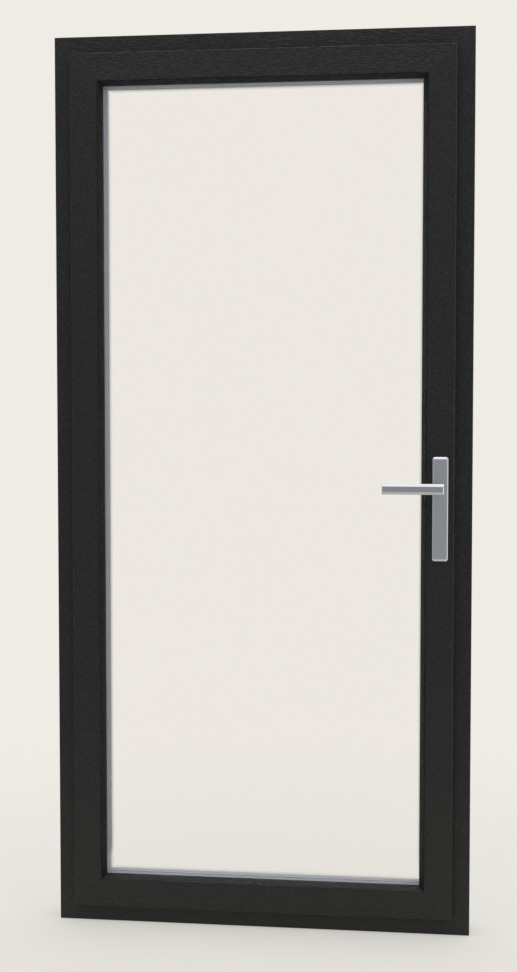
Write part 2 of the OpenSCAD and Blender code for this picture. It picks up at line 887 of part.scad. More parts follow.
module gear_cover() {
    color(satin) lock_side() difference() {
        box3([case_front, case_q[0], handle_z - case_half_h],
            [case_front + case_w, case_q[0] + case_floor, handle_z + case_half_h]);
        translate([lock_p, 0, handle_z]) along_q(hub_r + run, case_q[0] - 1, groove_q);
        for (side = [-1, 1]) translate([lock_p, 0, handle_z + side * bolt_z])
            along_q(bolt_r + hole_gap, case_q[0] - 1, groove_q);
        cover_screw_sites() {
            along_q(screw_r + hole_gap, -1, 16);
            rotate([-90, 0, 0]) cylinder(r1 = screw_head_r, r2 = screw_r + hole_gap, h = screw_r);
        }
    }
}

module gear_screws() {
    color(satin) lock_side() cover_screw_sites() rotate([-90, 0, 0]) {
        cylinder(r1 = screw_head_r - 0.2, r2 = screw_r, h = screw_r);
        cylinder(r = screw_r, h = 14);
    }
}

module leaf_screws() {
    color(zinc) {
        hinge_side() block_screw_sites() screw_p();
        at_upper() hinge_side() block_screw_sites() screw_p();
        lock_side() face_screw_sites() screw_p();
    }
}

// ---- Handle ----------------------------------------------------------------

// Local frame of the handle: axis at the origin of p and z, q as it is
module at_handle() { lock_side() translate([lock_p, 0, handle_z]) children(); }

// Bevelled slab: p and z spans, standing from q = back to q = front
module bevelled(p0, p1, z0, z1, back, front, bevel_p, bevel_z, bevel_q) {
    intersection() {
        translate([0, 0, z0]) linear_extrude(z1 - z0)
            polygon([[p0, back], [p0, front + bevel_q], [p0 + bevel_p, front],
                [p1 - bevel_p, front], [p1, front + bevel_q], [p1, back]]);
        translate([p0, 0, 0]) rotate([90, 0, 90]) linear_extrude(p1 - p0)
            polygon([[back, z0], [front + bevel_q, z0], [front, z0 + bevel_z],
                [front, z1 - bevel_z], [front + bevel_q, z1], [back, z1]]);
    }
}

module backplate_base() {
    low = backplate_above - backplate_h + cover_wall + 1;
    color("dimgray") at_handle() difference() {
        box3([-backplate_w / 2 + cover_wall + 0.4, q_leaf - base_t, low],
            [backplate_w / 2 - cover_wall - 0.4, q_leaf, backplate_above - cover_wall - 1]);
        along_q(neck_r + 2.1, q_leaf - base_t - 1, q_leaf + 1);
        for (side = [-1, 1]) translate([0, 0, side * bolt_z])
            along_q(bolt_r + hole_gap, q_leaf - base_t - 1, q_leaf + 1);
    }
}

// Shell that clips over the base and hides its bolts
module backplate_cover() {
    low = backplate_above - backplate_h;
    half = backplate_w / 2;
    front = q_leaf - backplate_t;
    color(satin) at_handle() difference() {
        bevelled(-half, half, low, backplate_above, q_leaf, front, cover_bevel, cover_bevel, 3);
        bevelled(-half + cover_wall, half - cover_wall, low + cover_wall,
            backplate_above - cover_wall, q_leaf + 1, front + cover_wall,
            cover_bevel, cover_bevel, 3);
        along_q(neck_r + 0.4, front - 1, q_leaf + 1);
    }
}

module backplate_bolts() {
    color(zinc) at_handle() for (side = [-1, 1]) translate([0, 0, side * bolt_z]) {
        along_q(4.5, q_leaf - base_t - 2.5, q_leaf - base_t);
        along_q(bolt_r, q_leaf - base_t - 0.01, case_q[1] - 2);
    }
}

// Plain bearing ring in the base that the lever's neck turns in
module lever_bush() {
    color("white") at_handle() difference() {
        along_q(neck_r + 2, q_leaf - base_t - 2, q_leaf);
        along_q(neck_r + run, q_leaf - base_t - 3, q_leaf + 1);
    }
}

module inner_lever() {
    color(satin) at_handle() difference() {
        union() {
            intersection() {
                bevelled(-neck_end, lever_reach, -lever_h / 2, lever_h / 2, q_lever + lever_d,
                    q_lever, 2, lever_bevel_z, lever_bevel_q);
                translate([-neck_end, 0, 0]) rotate([90, 0, 90]) linear_extrude(lever_reach + neck_end)
                    polygon([[q_lever, -lever_h], [q_lever, lever_h],
                        [q_lever + lever_d - lever_back_bevel, lever_h],
                        [q_lever + lever_d - lever_back_bevel, lever_h / 2],
                        [q_lever + lever_d, lever_h / 2 - lever_back_bevel],
                        [q_lever + lever_d, -lever_h / 2 + lever_back_bevel],
                        [q_lever + lever_d - lever_back_bevel, -lever_h / 2],
                        [q_lever + lever_d - lever_back_bevel, -lever_h]]);
            }
            along_q(neck_r, q_lever + lever_d - 1, q_leaf - 0.3);
        }
        box3([-spindle_w / 2 - 0.05, q_leaf - spindle_in - 1, -spindle_w / 2 - 0.05],
            [spindle_w / 2 + 0.05, q_leaf, spindle_w / 2 + 0.05]);
        translate([0, q_leaf - 20, -neck_r - 1]) cylinder(r = grub_r + hole_gap, h = neck_r);
    }
}

module spindle() {
    color(zinc) at_handle()
        box3([-spindle_w / 2, q_leaf - spindle_in, -spindle_w / 2],
            [spindle_w / 2, case_q[1] - 1, spindle_w / 2]);
}

module grub_screw() {
    color(black) at_handle() translate([0, q_leaf - 20, -neck_r + 0.6])
        cylinder(r = grub_r, h = neck_r - 0.6 - spindle_w / 2);
}

frame_head();
frame_sill();
frame_hinge_jamb();
frame_lock_jamb();
head_steel();
sill_steel();
hinge_jamb_steel();
lock_jamb_steel();
frame_gasket();
lower_keep();
middle_keep();
upper_keep();
lower_hinge_bracket();
upper_hinge_bracket();
lower_hinge_pin();
upper_hinge_pin();
hinge_washers();
frame_screws();
drain_caps();
sash_top_rail();
sash_bottom_rail();
sash_hinge_stile();
sash_lock_stile();
top_rail_steel();
bottom_rail_steel();
hinge_stile_steel();
lock_stile_steel();
sash_gasket();
top_bead();
bottom_bead();
hinge_bead();
lock_bead();
bead_gasket();
outer_glazing_gasket();
inner_pane();
middle_pane();
outer_pane();
inner_spacer();
outer_spacer();
edge_seal();
setting_blocks();
lower_hinge_block();
upper_hinge_block();
leaf_screws();
faceplate();
gear_case();
gear_cover();
gear_screws();
backplate_base();
backplate_cover();
backplate_bolts();
lever_bush();
inner_lever();
spindle();
pinion();
grub_screw();
drive_rod();
locking_rollers();
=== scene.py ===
"""Looks of a side-hung glass door leaf in its outer frame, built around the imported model.

Everything is in metres in the row frame: +X from the hinges to the lock, +Y from the
room to the outside, +Z up, with the origin under the middle of the sill.
"""

import json
import logging
import math
from dataclasses import dataclass, replace
from enum import Enum
from typing import Any, Iterable, Optional, Sequence, Union

import bmesh
import bpy
import numpy as np
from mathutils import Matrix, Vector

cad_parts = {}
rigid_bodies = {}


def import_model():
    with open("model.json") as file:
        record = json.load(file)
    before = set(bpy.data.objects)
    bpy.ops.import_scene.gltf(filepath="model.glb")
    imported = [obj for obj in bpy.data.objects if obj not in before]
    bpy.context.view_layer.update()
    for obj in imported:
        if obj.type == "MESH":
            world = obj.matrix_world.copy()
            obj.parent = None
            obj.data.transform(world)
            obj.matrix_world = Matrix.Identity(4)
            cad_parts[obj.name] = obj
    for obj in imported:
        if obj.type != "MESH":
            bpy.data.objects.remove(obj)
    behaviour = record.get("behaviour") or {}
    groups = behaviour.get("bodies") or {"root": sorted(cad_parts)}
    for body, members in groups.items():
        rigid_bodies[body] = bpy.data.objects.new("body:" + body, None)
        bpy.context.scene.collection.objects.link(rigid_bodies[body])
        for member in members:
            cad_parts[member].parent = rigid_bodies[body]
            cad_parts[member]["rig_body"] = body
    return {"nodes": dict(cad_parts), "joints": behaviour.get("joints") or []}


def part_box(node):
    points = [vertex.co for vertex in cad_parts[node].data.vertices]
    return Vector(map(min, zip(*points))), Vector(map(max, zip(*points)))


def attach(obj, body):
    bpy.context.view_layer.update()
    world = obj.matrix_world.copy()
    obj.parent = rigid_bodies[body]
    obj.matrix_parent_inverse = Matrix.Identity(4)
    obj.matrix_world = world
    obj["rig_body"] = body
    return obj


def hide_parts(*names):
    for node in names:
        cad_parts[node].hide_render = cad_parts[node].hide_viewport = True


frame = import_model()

LOG = logging.getLogger("glass_door")
MM = 0.001
QUARTER = math.pi / 2
FULL_TURN = 2 * math.pi
METAL_SHARP = 30.0
SEAL_SHARP = 50.0
Colour = tuple[float, float, float]


# ---- Boxes and meshes ------------------------------------------------------


def box_of(*nodes: str) -> np.ndarray:
    """Box that holds some CAD nodes.

    Args:
        nodes: names of CAD nodes.

    Returns:
        The lowest and the highest corner, as a 2 x 3 array in metres.
    """
    corners = np.array([[tuple(corner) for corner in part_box(node)] for node in nodes])
    return np.array([corners[:, 0].min(0), corners[:, 1].max(0)])


def grid_faces(rows: int, columns: int, wrap_rows: bool, wrap_columns: bool) -> np.ndarray:
    """Quads that join the points of a grid, row by row.

    Args:
        rows: how many rows of points the grid has.
        columns: how many points are in a row.
        wrap_rows: whether the last row joins the first.
        wrap_columns: whether the last point of a row joins its first.

    Returns:
        An n x 4 array of point numbers.
    """
    row = np.arange(rows if wrap_rows else rows - 1)[:, None]
    column = np.arange(columns if wrap_columns else columns - 1)[None, :]
    below, beside = (row + 1) % rows, (column + 1) % columns
    corners = [row * columns + column, row * columns + beside,
               below * columns + beside, below * columns + column]
    shape = (row.size, column.size)
    return np.stack([np.broadcast_to(c, shape) for c in corners], -1).reshape(-1, 4)


@dataclass
class Shell:
    """A surface as points and faces, before it becomes a piece."""

    points: np.ndarray
    faces: list[np.ndarray]

    @classmethod
    def joined(cls, shells: Iterable["Shell"]) -> "Shell":
        """Several shells as one, without welding them.

        Args:
            shells: the shells to put together.

        Returns:
            One shell with all their points and faces.
        """
        points: list[np.ndarray] = []
        faces: list[np.ndarray] = []
        count = 0
        for shell in shells:
            points.append(shell.points)
            faces.extend(face + count for face in shell.faces)
            count += len(shell.points)
        return cls(np.concatenate(points), faces)

    @classmethod
    def loop(cls, rows: np.ndarray) -> "Shell":
        """Closed rows of points, with the last row joined to the first."""
        return cls(rows.reshape(-1, 3), [grid_faces(*rows.shape[:2], True, True)])

    @classmethod
    def tube(cls, rows: np.ndarray) -> "Shell":
        """A tube through closed rows of points, shut by a face at each end.

        Args:
            rows: m x n x 3 array, with the n points of each of the m rows.

        Returns:
            The closed shell.
        """
        count = rows.shape[1]
        ring = np.arange(count)
        ends = np.stack([ring, ring[::-1] + count * (len(rows) - 1)])
        return cls(rows.reshape(-1, 3), [grid_faces(len(rows), count, False, True), ends])

    def piece(self, name: str, sharp_deg: float = 35.0) -> bpy.types.Object:
        """Puts the shell into a mesh object that stands at the origin.

        Args:
            name: name of the piece.
            sharp_deg: edges that turn by more than this stay sharp.

        Returns:
            The new object, with its faces pointing outwards.
        """
        mesh = bpy.data.meshes.new(name)
        corners = np.concatenate([face.reshape(-1) for face in self.faces]).astype(np.int32)
        sizes = np.concatenate([np.full(face.size // face.shape[-1], face.shape[-1])
                                for face in self.faces])
        starts = np.concatenate([[0], np.cumsum(sizes)[:-1]]).astype(np.int32)
        mesh.vertices.add(len(self.points))
        mesh.vertices.foreach_set("co", self.points.astype(np.float32).ravel())
        mesh.loops.add(len(corners))
        mesh.loops.foreach_set("vertex_index", corners)
        mesh.polygons.add(len(sizes))
        mesh.polygons.foreach_set("loop_start", starts)
        mesh.update(calc_edges=True)
        mesh.validate()
        worked = bmesh.new()
        worked.from_mesh(mesh)
        bmesh.ops.recalc_face_normals(worked, faces=worked.faces)
        worked.to_mesh(mesh)
        worked.free()
        mesh.shade_smooth()
        mesh.set_sharp_from_angle(angle=math.radians(sharp_deg))
        made = bpy.data.objects.new(name, mesh)
        bpy.context.scene.collection.objects.link(made)
        return made


def rounded(corners: Sequence[tuple[float, float, float]], steps: int = 5) -> np.ndarray:
    """A closed outline with each corner turned on an arc.

    An arc of radius r touches both sides at r / tan(half the corner's angle) from the
    corner, and its points come from turning the first touching point about its centre.

    Args:
        corners: (a, b, radius) of each corner in order; radius 0 keeps it sharp.
        steps: faces across an arc.

    Returns:
        The outline's points, as an n x 2 array.
    """
    given = np.array(corners, float)
    outline: list[np.ndarray] = []
    for before, here, after in zip(np.roll(given, 1, 0), given, np.roll(given, -1, 0)):
        point, radius = here[:2], here[2]
        if radius <= 0:
            outline.append(point[None])
            continue
        to_before, to_after = before[:2] - point, after[:2] - point
        to_before /= np.linalg.norm(to_before)
        to_after /= np.linalg.norm(to_after)
        half = math.acos(float(np.clip(to_before @ to_after, -1, 1))) / 2
        middle = (to_before + to_after) / np.linalg.norm(to_before + to_after)
        centre = point + middle * radius / math.sin(half)
        start = point + to_before * radius / math.tan(half) - centre
        side = to_before[1] * to_after[0] - to_before[0] * to_after[1]
        turn = math.copysign(math.pi - 2 * half, side)
        angle = np.linspace(0, turn, steps + 1)[:, None]
        across = np.array([-start[1], start[0]])
        outline.append(centre + np.cos(angle) * start + np.sin(angle) * across)
    return np.concatenate(outline)


@dataclass(frozen=True)
class Rectangle:
    """An upright rectangle round which a profile is carried."""

    x0: float
    x1: float
    z0: float
    z1: float

    @classmethod
    def round_nodes(cls, *nodes: str) -> "Rectangle":
        """The rectangle that holds some CAD nodes, seen from the room."""
        low, high = box_of(*nodes)
        return cls(low[0], high[0], low[2], high[2])

    def corner_rows(self, profile: np.ndarray) -> np.ndarray:
        """Carries a profile to the four corners.

        A profile point (s, y) lies at depth y, s inwards from both sides that meet in
        the corner, which is a cut at 45 degrees.

        Args:
            profile: n x 2 array of (s, y).

        Returns:
            A 4 x n x 3 array, anticlockwise from the lower hinge-side corner.
        """
        inwards, depth = profile.T
        side = np.array([1, -1, -1, 1])[:, None]
        level = np.array([1, 1, -1, -1])[:, None]
        edge_x = np.array([self.x0, self.x1, self.x1, self.x0])[:, None]
        edge_z = np.array([self.z0, self.z0, self.z1, self.z1])[:, None]
        return np.stack([edge_x + side * inwards, np.broadcast_to(depth, (4, depth.size)),
                         edge_z + level * inwards], -1)

    def ring(self, profile: np.ndarray) -> Shell:
        """A closed ring of one profile all the way round."""
        return Shell.loop(self.corner_rows(profile))

    def length(self, profile: np.ndarray, first: int) -> Shell:
        """One straight length of a profile, closed by its two mitred ends.

        Args:
            profile: n x 2 array of (s, y).
            first: number of the corner it starts from.

        Returns:
            The closed shell of that length.
        """
        return Shell.tube(self.corner_rows(profile)[[first, (first + 1) % 4]])


def turned(profile: np.ndarray, centre: np.ndarray, count: int = 48) -> Shell:
    """A profile turned about an axis along Y and closed at both ends.

    A profile point (r, y) becomes (x + r cos t, y, z + r sin t) for t round the axis.

    Args:
        profile: n x 2 array of (radius, y), from one end to the other.
        centre: a point of the axis; its y is not used.
        count: faces round the axis.

    Returns:
        The closed shell.
    """
    angle = np.linspace(0, FULL_TURN, count, endpoint=False)[None, :]
    radius, depth = profile[:, :1], profile[:, 1:]
    points = np.stack([centre[0] + radius * np.cos(angle),
                       np.broadcast_to(depth, (len(profile), count)),
                       centre[2] + radius * np.sin(angle)], -1)
    return Shell.tube(points)


# ---- Shader graphs ---------------------------------------------------------

Source = Union["Signal", bpy.types.NodeSocket, float, int, Sequence[float]]


class Signal:
    """A socket that carries a number; arithmetic on it adds Math nodes."""

    def __init__(self, graph: "Graph", socket: bpy.types.NodeSocket) -> None:
        """Wraps a socket of a graph."""
        self.graph = graph
        self.socket = socket

    def _math(self, operation: str, *values: Source) -> "Signal":
        """Adds one Math node of that operation."""
        return self.graph.signal("ShaderNodeMath", {"operation": operation},
                                 dict(enumerate(values)))

    def __add__(self, other: Source) -> "Signal":
        """self + other."""
        return self._math("ADD", self, other)

    __radd__ = __add__

    def __sub__(self, other: Source) -> "Signal":
        """self - other."""
        return self._math("SUBTRACT", self, other)

    def __rsub__(self, other: Source) -> "Signal":
        """other - self."""
        return self._math("SUBTRACT", other, self)

    def __mul__(self, other: Source) -> "Signal":
        """self * other."""
        return self._math("MULTIPLY", self, other)

    __rmul__ = __mul__

    def __pow__(self, other: Source) -> "Signal":
        """self to a power."""
        return self._math("POWER", self, other)

    def __abs__(self) -> "Signal":
        """self without its sign."""
        return self._math("ABSOLUTE", self)

    def least(self, other: Source) -> "Signal":
        """The smaller of the two."""
        return self._math("MINIMUM", self, other)

    def most(self, other: Source) -> "Signal":
        """The larger of the two."""
        return self._math("MAXIMUM", self, other)

    def clamped(self) -> "Signal":
        """Kept from 0 to 1."""
        return self.graph.signal("ShaderNodeClamp", None, {0: self})

    def step(self, low: float, high: float) -> "Signal":
        """A smooth step.

        Args:
            low: where it is 0, on that side and beyond.
            high: where it is 1; it may lie below low.

        Returns:
            The step, from 0 to 1.
        """
        if low > high:
            return 1 - self.step(high, low)
        return self.graph.signal("ShaderNodeMapRange", {"interpolation_type": "SMOOTHSTEP"},
                                 {"Value": self, "From Min": low, "From Max": high})


class Graph:
    """The node tree of one material."""

    def __init__(self, tree: bpy.types.NodeTree) -> None:
        """Starts an empty tree."""
        self.tree = tree
        tree.nodes.clear()

    def node(self, kind: str, settings: Optional[dict[str, Any]] = None,
             sockets: Optional[dict[Union[str, int], Source]] = None) -> bpy.types.Node:
        """Adds a node.

        Args:
            kind: the node's type.
            settings: its settings, such as a Math node's operation.
            sockets: a value or a link for each input, by name or number.

        Returns:
            The node.
        """
        made = self.tree.nodes.new(kind)
        for name, value in (settings or {}).items():
            setattr(made, name, value)
        for key, value in (sockets or {}).items():
            source = value.socket if isinstance(value, Signal) else value
            if isinstance(source, bpy.types.NodeSocket):
                self.tree.links.new(source, made.inputs[key])
            else:
                made.inputs[key].default_value = source
        return made

    def signal(self, kind: str, settings: Optional[dict[str, Any]] = None,
               sockets: Optional[dict[Union[str, int], Source]] = None,
               output: Union[str, int] = 0) -> Signal:
        """Adds a node and wraps one of its outputs.

        Args:
            kind: the node's type.
            settings: its settings.
            sockets: a value or a link for each input, by name or number.
            output: name or number of the output.

        Returns:
            The output.
        """
        return Signal(self, self.node(kind, settings, sockets).outputs[output])

    def place(self) -> Signal:
        """Object coordinates, in metres."""
        return self.signal("ShaderNodeTexCoord", output="Object")

    def scaled(self, per_metre: Sequence[float]) -> Signal:
        """Object coordinates times a scale for each axis."""
        return self.signal("ShaderNodeMapping", {"vector_type": "POINT"},
                           {"Vector": self.place(), "Scale": tuple(per_metre)})

    def axes(self) -> tuple[Signal, Signal, Signal]:
        """Object coordinates as three numbers."""
        split = self.node("ShaderNodeSeparateXYZ", sockets={0: self.place()})
        return tuple(Signal(self, output) for output in split.outputs)

    def noise(self, per_metre: Sequence[float], detail: float = 3.0, roughness: float = 0.55,
              distortion: float = 0.0) -> Signal:
        """Noise from 0 to 1.

        Args:
            per_metre: features per metre along each axis.
            detail: how many finer layers it has.
            roughness: how strong the finer layers are.
            distortion: how far it is bent.

        Returns:
            The noise.
        """
        return self.signal("ShaderNodeTexNoise", None,
                           {"Vector": self.scaled(per_metre), "Scale": 1.0, "Detail": detail,
                            "Roughness": roughness, "Distortion": distortion})

    def mixed(self, factor: Source, first: Source, second: Source) -> Signal:
        """A blend of two colours.

        Args:
            factor: the share of the second colour.
            first: a colour, as three numbers or a signal.
            second: the other colour.

        Returns:
            The blend.
        """
        first, second = ((*c, 1) if isinstance(c, tuple) and len(c) == 3 else c
                         for c in (first, second))
        return self.signal("ShaderNodeMix", {"data_type": "RGBA"},
                           {0: factor, 6: first, 7: second}, 2)

    def bump(self, height: Source, distance: float, strength: float = 1.0) -> Signal:
        """A normal tilted by a relief.

        Args:
            height: the relief, in units of distance.
            distance: the unit, in metres.
            strength: share of the tilt that is used.

        Returns:
            The normal.
        """
        return self.signal("ShaderNodeBump", None,
                           {"Height": height, "Distance": distance, "Strength": strength})


    def blend(self, share: Source, first: bpy.types.Node,
              second: bpy.types.Node) -> bpy.types.Node:
        """Adds a Mix Shader: first at share 0, second at share 1."""
        return self.node("ShaderNodeMixShader", None,
                         {0: share, 1: first.outputs[0], 2: second.outputs[0]})

    def close(self, shader: bpy.types.Node, kind: str = "Material") -> None:
        """Feeds the output of a material or a world."""
        self.node("ShaderNodeOutput" + kind, None, {"Surface": shader.outputs[0]})


# ---- Finishes --------------------------------------------------------------


def toned(colour: Colour, factor: float) -> Colour:
    """A colour made darker or lighter, at most to full brightness."""
    return tuple(min(1.0, part * factor) for part in colour)


class Run(Enum):
    """The direction in which a grain or a brushing runs."""

    ALONG_X = "x"
    ALONG_Z = "z"

    def scale(self, along: float, across: float) -> tuple[float, float, float]:
        """Features per metre on the three axes, for a grain that runs this way."""
        return (along, across, across) if self is Run.ALONG_X else (across, across, along)


@dataclass(frozen=True)
class Finish:
    """A material, made once and shared by the pieces that have it."""

    name: str
    slot: str
    colour: Colour
    roughness: float = 0.5
    gloss: float = 0.5
    metallic: float = 0.0

    def varied(self, graph: Graph) -> dict[str, Source]:
        """Colour, roughness and normal where they change over the surface, by socket."""
        return {}

    def rough(self, tone: Signal, matt: tuple[float, float]) -> Signal:
        """The finish's roughness less matt's first number, plus tone times its second."""
        return self.roughness - matt[0] + tone * matt[1]

    def material(self) -> bpy.types.Material:
        """The finish as a material.

        Returns:
            The material, made at the first call.
        """
        known = bpy.data.materials.get(self.name)
        if known:
            return known
        made = bpy.data.materials.new(self.name)
        made.use_nodes = True
        self.fill(Graph(made.node_tree))
        return made

    def fill(self, graph: Graph) -> None:
        """Builds the nodes: one Principled shader and what feeds it.

        Args:
            graph: the material's empty node tree.
        """
        fixed = {"Specular IOR Level": self.gloss, "Metallic": self.metallic}
        graph.close(graph.node("ShaderNodeBsdfPrincipled", None, fixed | self.varied(graph)))

    def dress(self, *pieces: bpy.types.Object) -> None:
        """Gives pieces this finish.

        Args:
            pieces: the objects, each with or without a material slot.
        """
        for piece in pieces:
            if not piece.material_slots:
                piece.data.materials.append(None)
            for worn in piece.material_slots:
                worn.material = self.material()


@dataclass(frozen=True)
class Foil(Finish):
    """Charcoal foil with an embossed leather grain that runs along the profile.

    A pair of numbers is where a smooth step starts and where it is full.
    """

    roughness: float = 0.36
    gloss: float = 0.44
    run: Run = Run.ALONG_Z
    door: tuple[float, float] = (0.49, 2.1)
    # lighter colour painted on the wrinkle crests as a highlight, for the light they catch from
    # above
    crest_highlight: Colour = (0.015, 0.015, 0.0153)
    wrinkle_along: float = 85.0
    wrinkle_across: float = 330.0
    wrinkle_deep: float = 0.0009
    crest: tuple[float, float] = (0.46, 0.70)
    crest_share: float = 0.9
    pores_along: float = 450.0
    pores_across: float = 1300.0
    pore_deep: float = 0.22
    pore_matt: float = 0.22
    mottle_per_metre: float = 9.0
    mottle_share: float = 0.03
    mottle_matt: float = 0.04
    weld_half: float = 0.00022
    weld_fade: float = 2.2
    weld_deep: float = 0.8
    weld_dark: float = 0.45
    leaf: Optional[tuple[float, float, float]] = None
    edge_round: float = 0.0016
    edge_deep: float = 0.8
    edge_limit: float = 1.2
    edge_outside: tuple[float, float] = (-0.0004, -0.0002)
    edge_band: tuple[float, float] = (0.01, 0.009)
    # lighter colour painted along the leaf's top and lock-side edges as a highlight
    edge_highlight_colour: Colour = (0.10, 0.10, 0.10)
    dash_per_metre: float = 38.0
    dash: tuple[float, float] = (0.46, 0.58)
    lock_share: float = 0.4

    def varied(self, graph: Graph) -> dict[str, Source]:
        """Wrinkles with a painted highlight on their crests, pores, slight mottling, and the fine
        line of each corner weld.

        A weld lies where a point is as far from the frame's side as from its foot or its
        head. The depths of pores and welds are shares of the wrinkles' depth.

        Args:
            graph: the material's nodes.

        Returns:
            Colour, roughness and normal, by socket.
        """
        folds = graph.noise(self.run.scale(self.wrinkle_along, self.wrinkle_across),
                            detail=1.5, roughness=0.5, distortion=0.7)
        crest = folds.step(*self.crest)
        pores = graph.noise(self.run.scale(self.pores_along, self.pores_across), detail=2.0)
        mottle = graph.noise((self.mottle_per_metre,) * 3, detail=2.0)
        x, _, z = graph.axes()
        half_width, height = self.door
        from_side = half_width - abs(x)
        off_mitre = abs(from_side - z).least(abs(from_side - (height - z)))
        weld = off_mitre.step(self.weld_half * self.weld_fade, self.weld_half)
        # painted highlight: the wrinkle crests are coloured lighter, with random mottle added
        highlight_and_mottle = crest * self.crest_share + mottle * self.mottle_share
        highlighted_colour = graph.mixed(highlight_and_mottle, self.colour, self.crest_highlight)
        relief = (crest + pores * self.pore_deep - weld * self.weld_deep) * self.wrinkle_deep
        if self.leaf:
            # painted highlight along the leaf's edge; the rounding in the relief is real
            edge_highlight_share, rounding = self.painted_edge_highlight(graph)
            highlighted_colour = graph.mixed(edge_highlight_share, highlighted_colour, self.edge_highlight_colour)
            relief = relief - rounding
        return {"Base Color": graph.mixed(weld, highlighted_colour, toned(self.colour, self.weld_dark)),
                "Roughness": self.roughness + pores * self.pore_matt + mottle * self.mottle_matt,
                "Normal": graph.bump(relief, 1.0)}

    def painted_edge_highlight(self, graph: Graph) -> tuple[Signal, Signal]:
        """The leaf's outer edge, rounded over, with a painted highlight along it.

        Near the leaf's outline the relief falls off with the square of what is left of
        the rounding. The painted highlight line is broken into dashes along the top and is
        fainter but whole on the lock side, the sides that face the light.

        Args:
            graph: the material's nodes.

        Returns:
            The share of the painted highlight colour, and the depth of the rounding in metres.
        """
        x, _, z = graph.axes()
        half_leaf, leaf_low, leaf_high = self.leaf
        from_edge = (half_leaf - abs(x)).least((leaf_high - z).least(z - leaf_low))
        left = (self.edge_round - from_edge).most(0.0).least(self.edge_round * self.edge_limit)
        line = left.step(0.0, self.edge_round) * from_edge.step(*self.edge_outside)
        starts, full = self.edge_band
        dashes = graph.noise((self.dash_per_metre,) * 3, detail=1.0).step(*self.dash)
        top = dashes * z.step(leaf_high - starts, leaf_high - full)
        lock_side = x.step(half_leaf - starts, half_leaf - full) * self.lock_share
        return line * (top + lock_side), left * left * (self.edge_deep / self.edge_round)


@dataclass(frozen=True)
class BrushedMetal(Finish):
    """Metal with fine lines from brushing or rolling; matt is as in rough()."""

    metallic: float = 1.0
    run: Run = Run.ALONG_Z
    line_across: float = 2600.0
    line_along: float = 22.0
    line_deep: float = 0.00002
    contrast: float = 0.10
    line_share: float = 0.6
    cloud_per_metre: float = 30.0
    matt: tuple[float, float] = (0.05, 0.10)

    def varied(self, graph: Graph) -> dict[str, Source]:
        """Lines in the colour, the roughness and the relief, over a soft cloud.

        Args:
            graph: the material's nodes.

        Returns:
            Colour, roughness and normal, by socket.
        """
        lines = graph.noise(self.run.scale(self.line_along, self.line_across), roughness=0.6)
        cloud = graph.noise((self.cloud_per_metre,) * 3)
        darker, lighter = (toned(self.colour, 1 + way * self.contrast) for way in (-1, 1))
        tone = lines * self.line_share + cloud * (1 - self.line_share)
        return {"Base Color": graph.mixed(tone, darker, lighter),
                "Roughness": self.rough(tone, self.matt),
                "Normal": graph.bump(lines, self.line_deep, strength=0.6)}


@dataclass(frozen=True)
class Spangled(Finish):
    """Zinc-coated steel with its crystal pattern; matt is as in rough()."""

    metallic: float = 1.0
    cell_per_metre: float = 160.0
    fine_per_metre: float = 900.0
    cell_dark: float = 0.78
    cell_deep: float = 0.00003
    matt: tuple[float, float] = (0.08, 0.18)

    def varied(self, graph: Graph) -> dict[str, Source]:
        """Flat crystals, each with a tone and a gloss of its own.

        Args:
            graph: the material's nodes.

        Returns:
            Colour, roughness and normal, by socket.
        """
        crystal = graph.node("ShaderNodeTexVoronoi", {"feature": "F1"},
                             {"Vector": graph.place(), "Scale": self.cell_per_metre})
        tone = graph.signal("ShaderNodeSeparateColor", None, {0: crystal.outputs["Color"]})
        fine = graph.noise((self.fine_per_metre,) * 3, detail=2.0)
        return {"Base Color": graph.mixed(tone, toned(self.colour, self.cell_dark), self.colour),
                "Roughness": self.rough(tone, self.matt),
                "Normal": graph.bump(tone * 0.5 + fine * 0.5, self.cell_deep, strength=0.6)}


@dataclass(frozen=True)
class Moulded(Finish):
    """Plastic, rubber or sealant with a fine grain and slight clouds; matt as in rough()."""

    grain_per_metre: float = 1500.0
    grain_deep: float = 0.00003
    clouding: float = 0.15
    cloud_per_metre: float = 25.0
    matt: tuple[float, float] = (0.06, 0.12)

    def varied(self, graph: Graph) -> dict[str, Source]:
        """Grain in the relief and the roughness, clouds in the colour.

        Args:
            graph: the material's nodes.

        Returns:
            Colour, roughness and normal, by socket.
        """
        grain = graph.noise((self.grain_per_metre,) * 3, detail=2.0)
        cloud = graph.noise((self.cloud_per_metre,) * 3)
        darker, lighter = (toned(self.colour, 1 + way * self.clouding) for way in (-1, 1))
        return {"Base Color": graph.mixed(cloud, darker, lighter),
                "Roughness": self.rough(grain, self.matt),
                "Normal": graph.bump(grain, self.grain_deep, strength=0.5)}


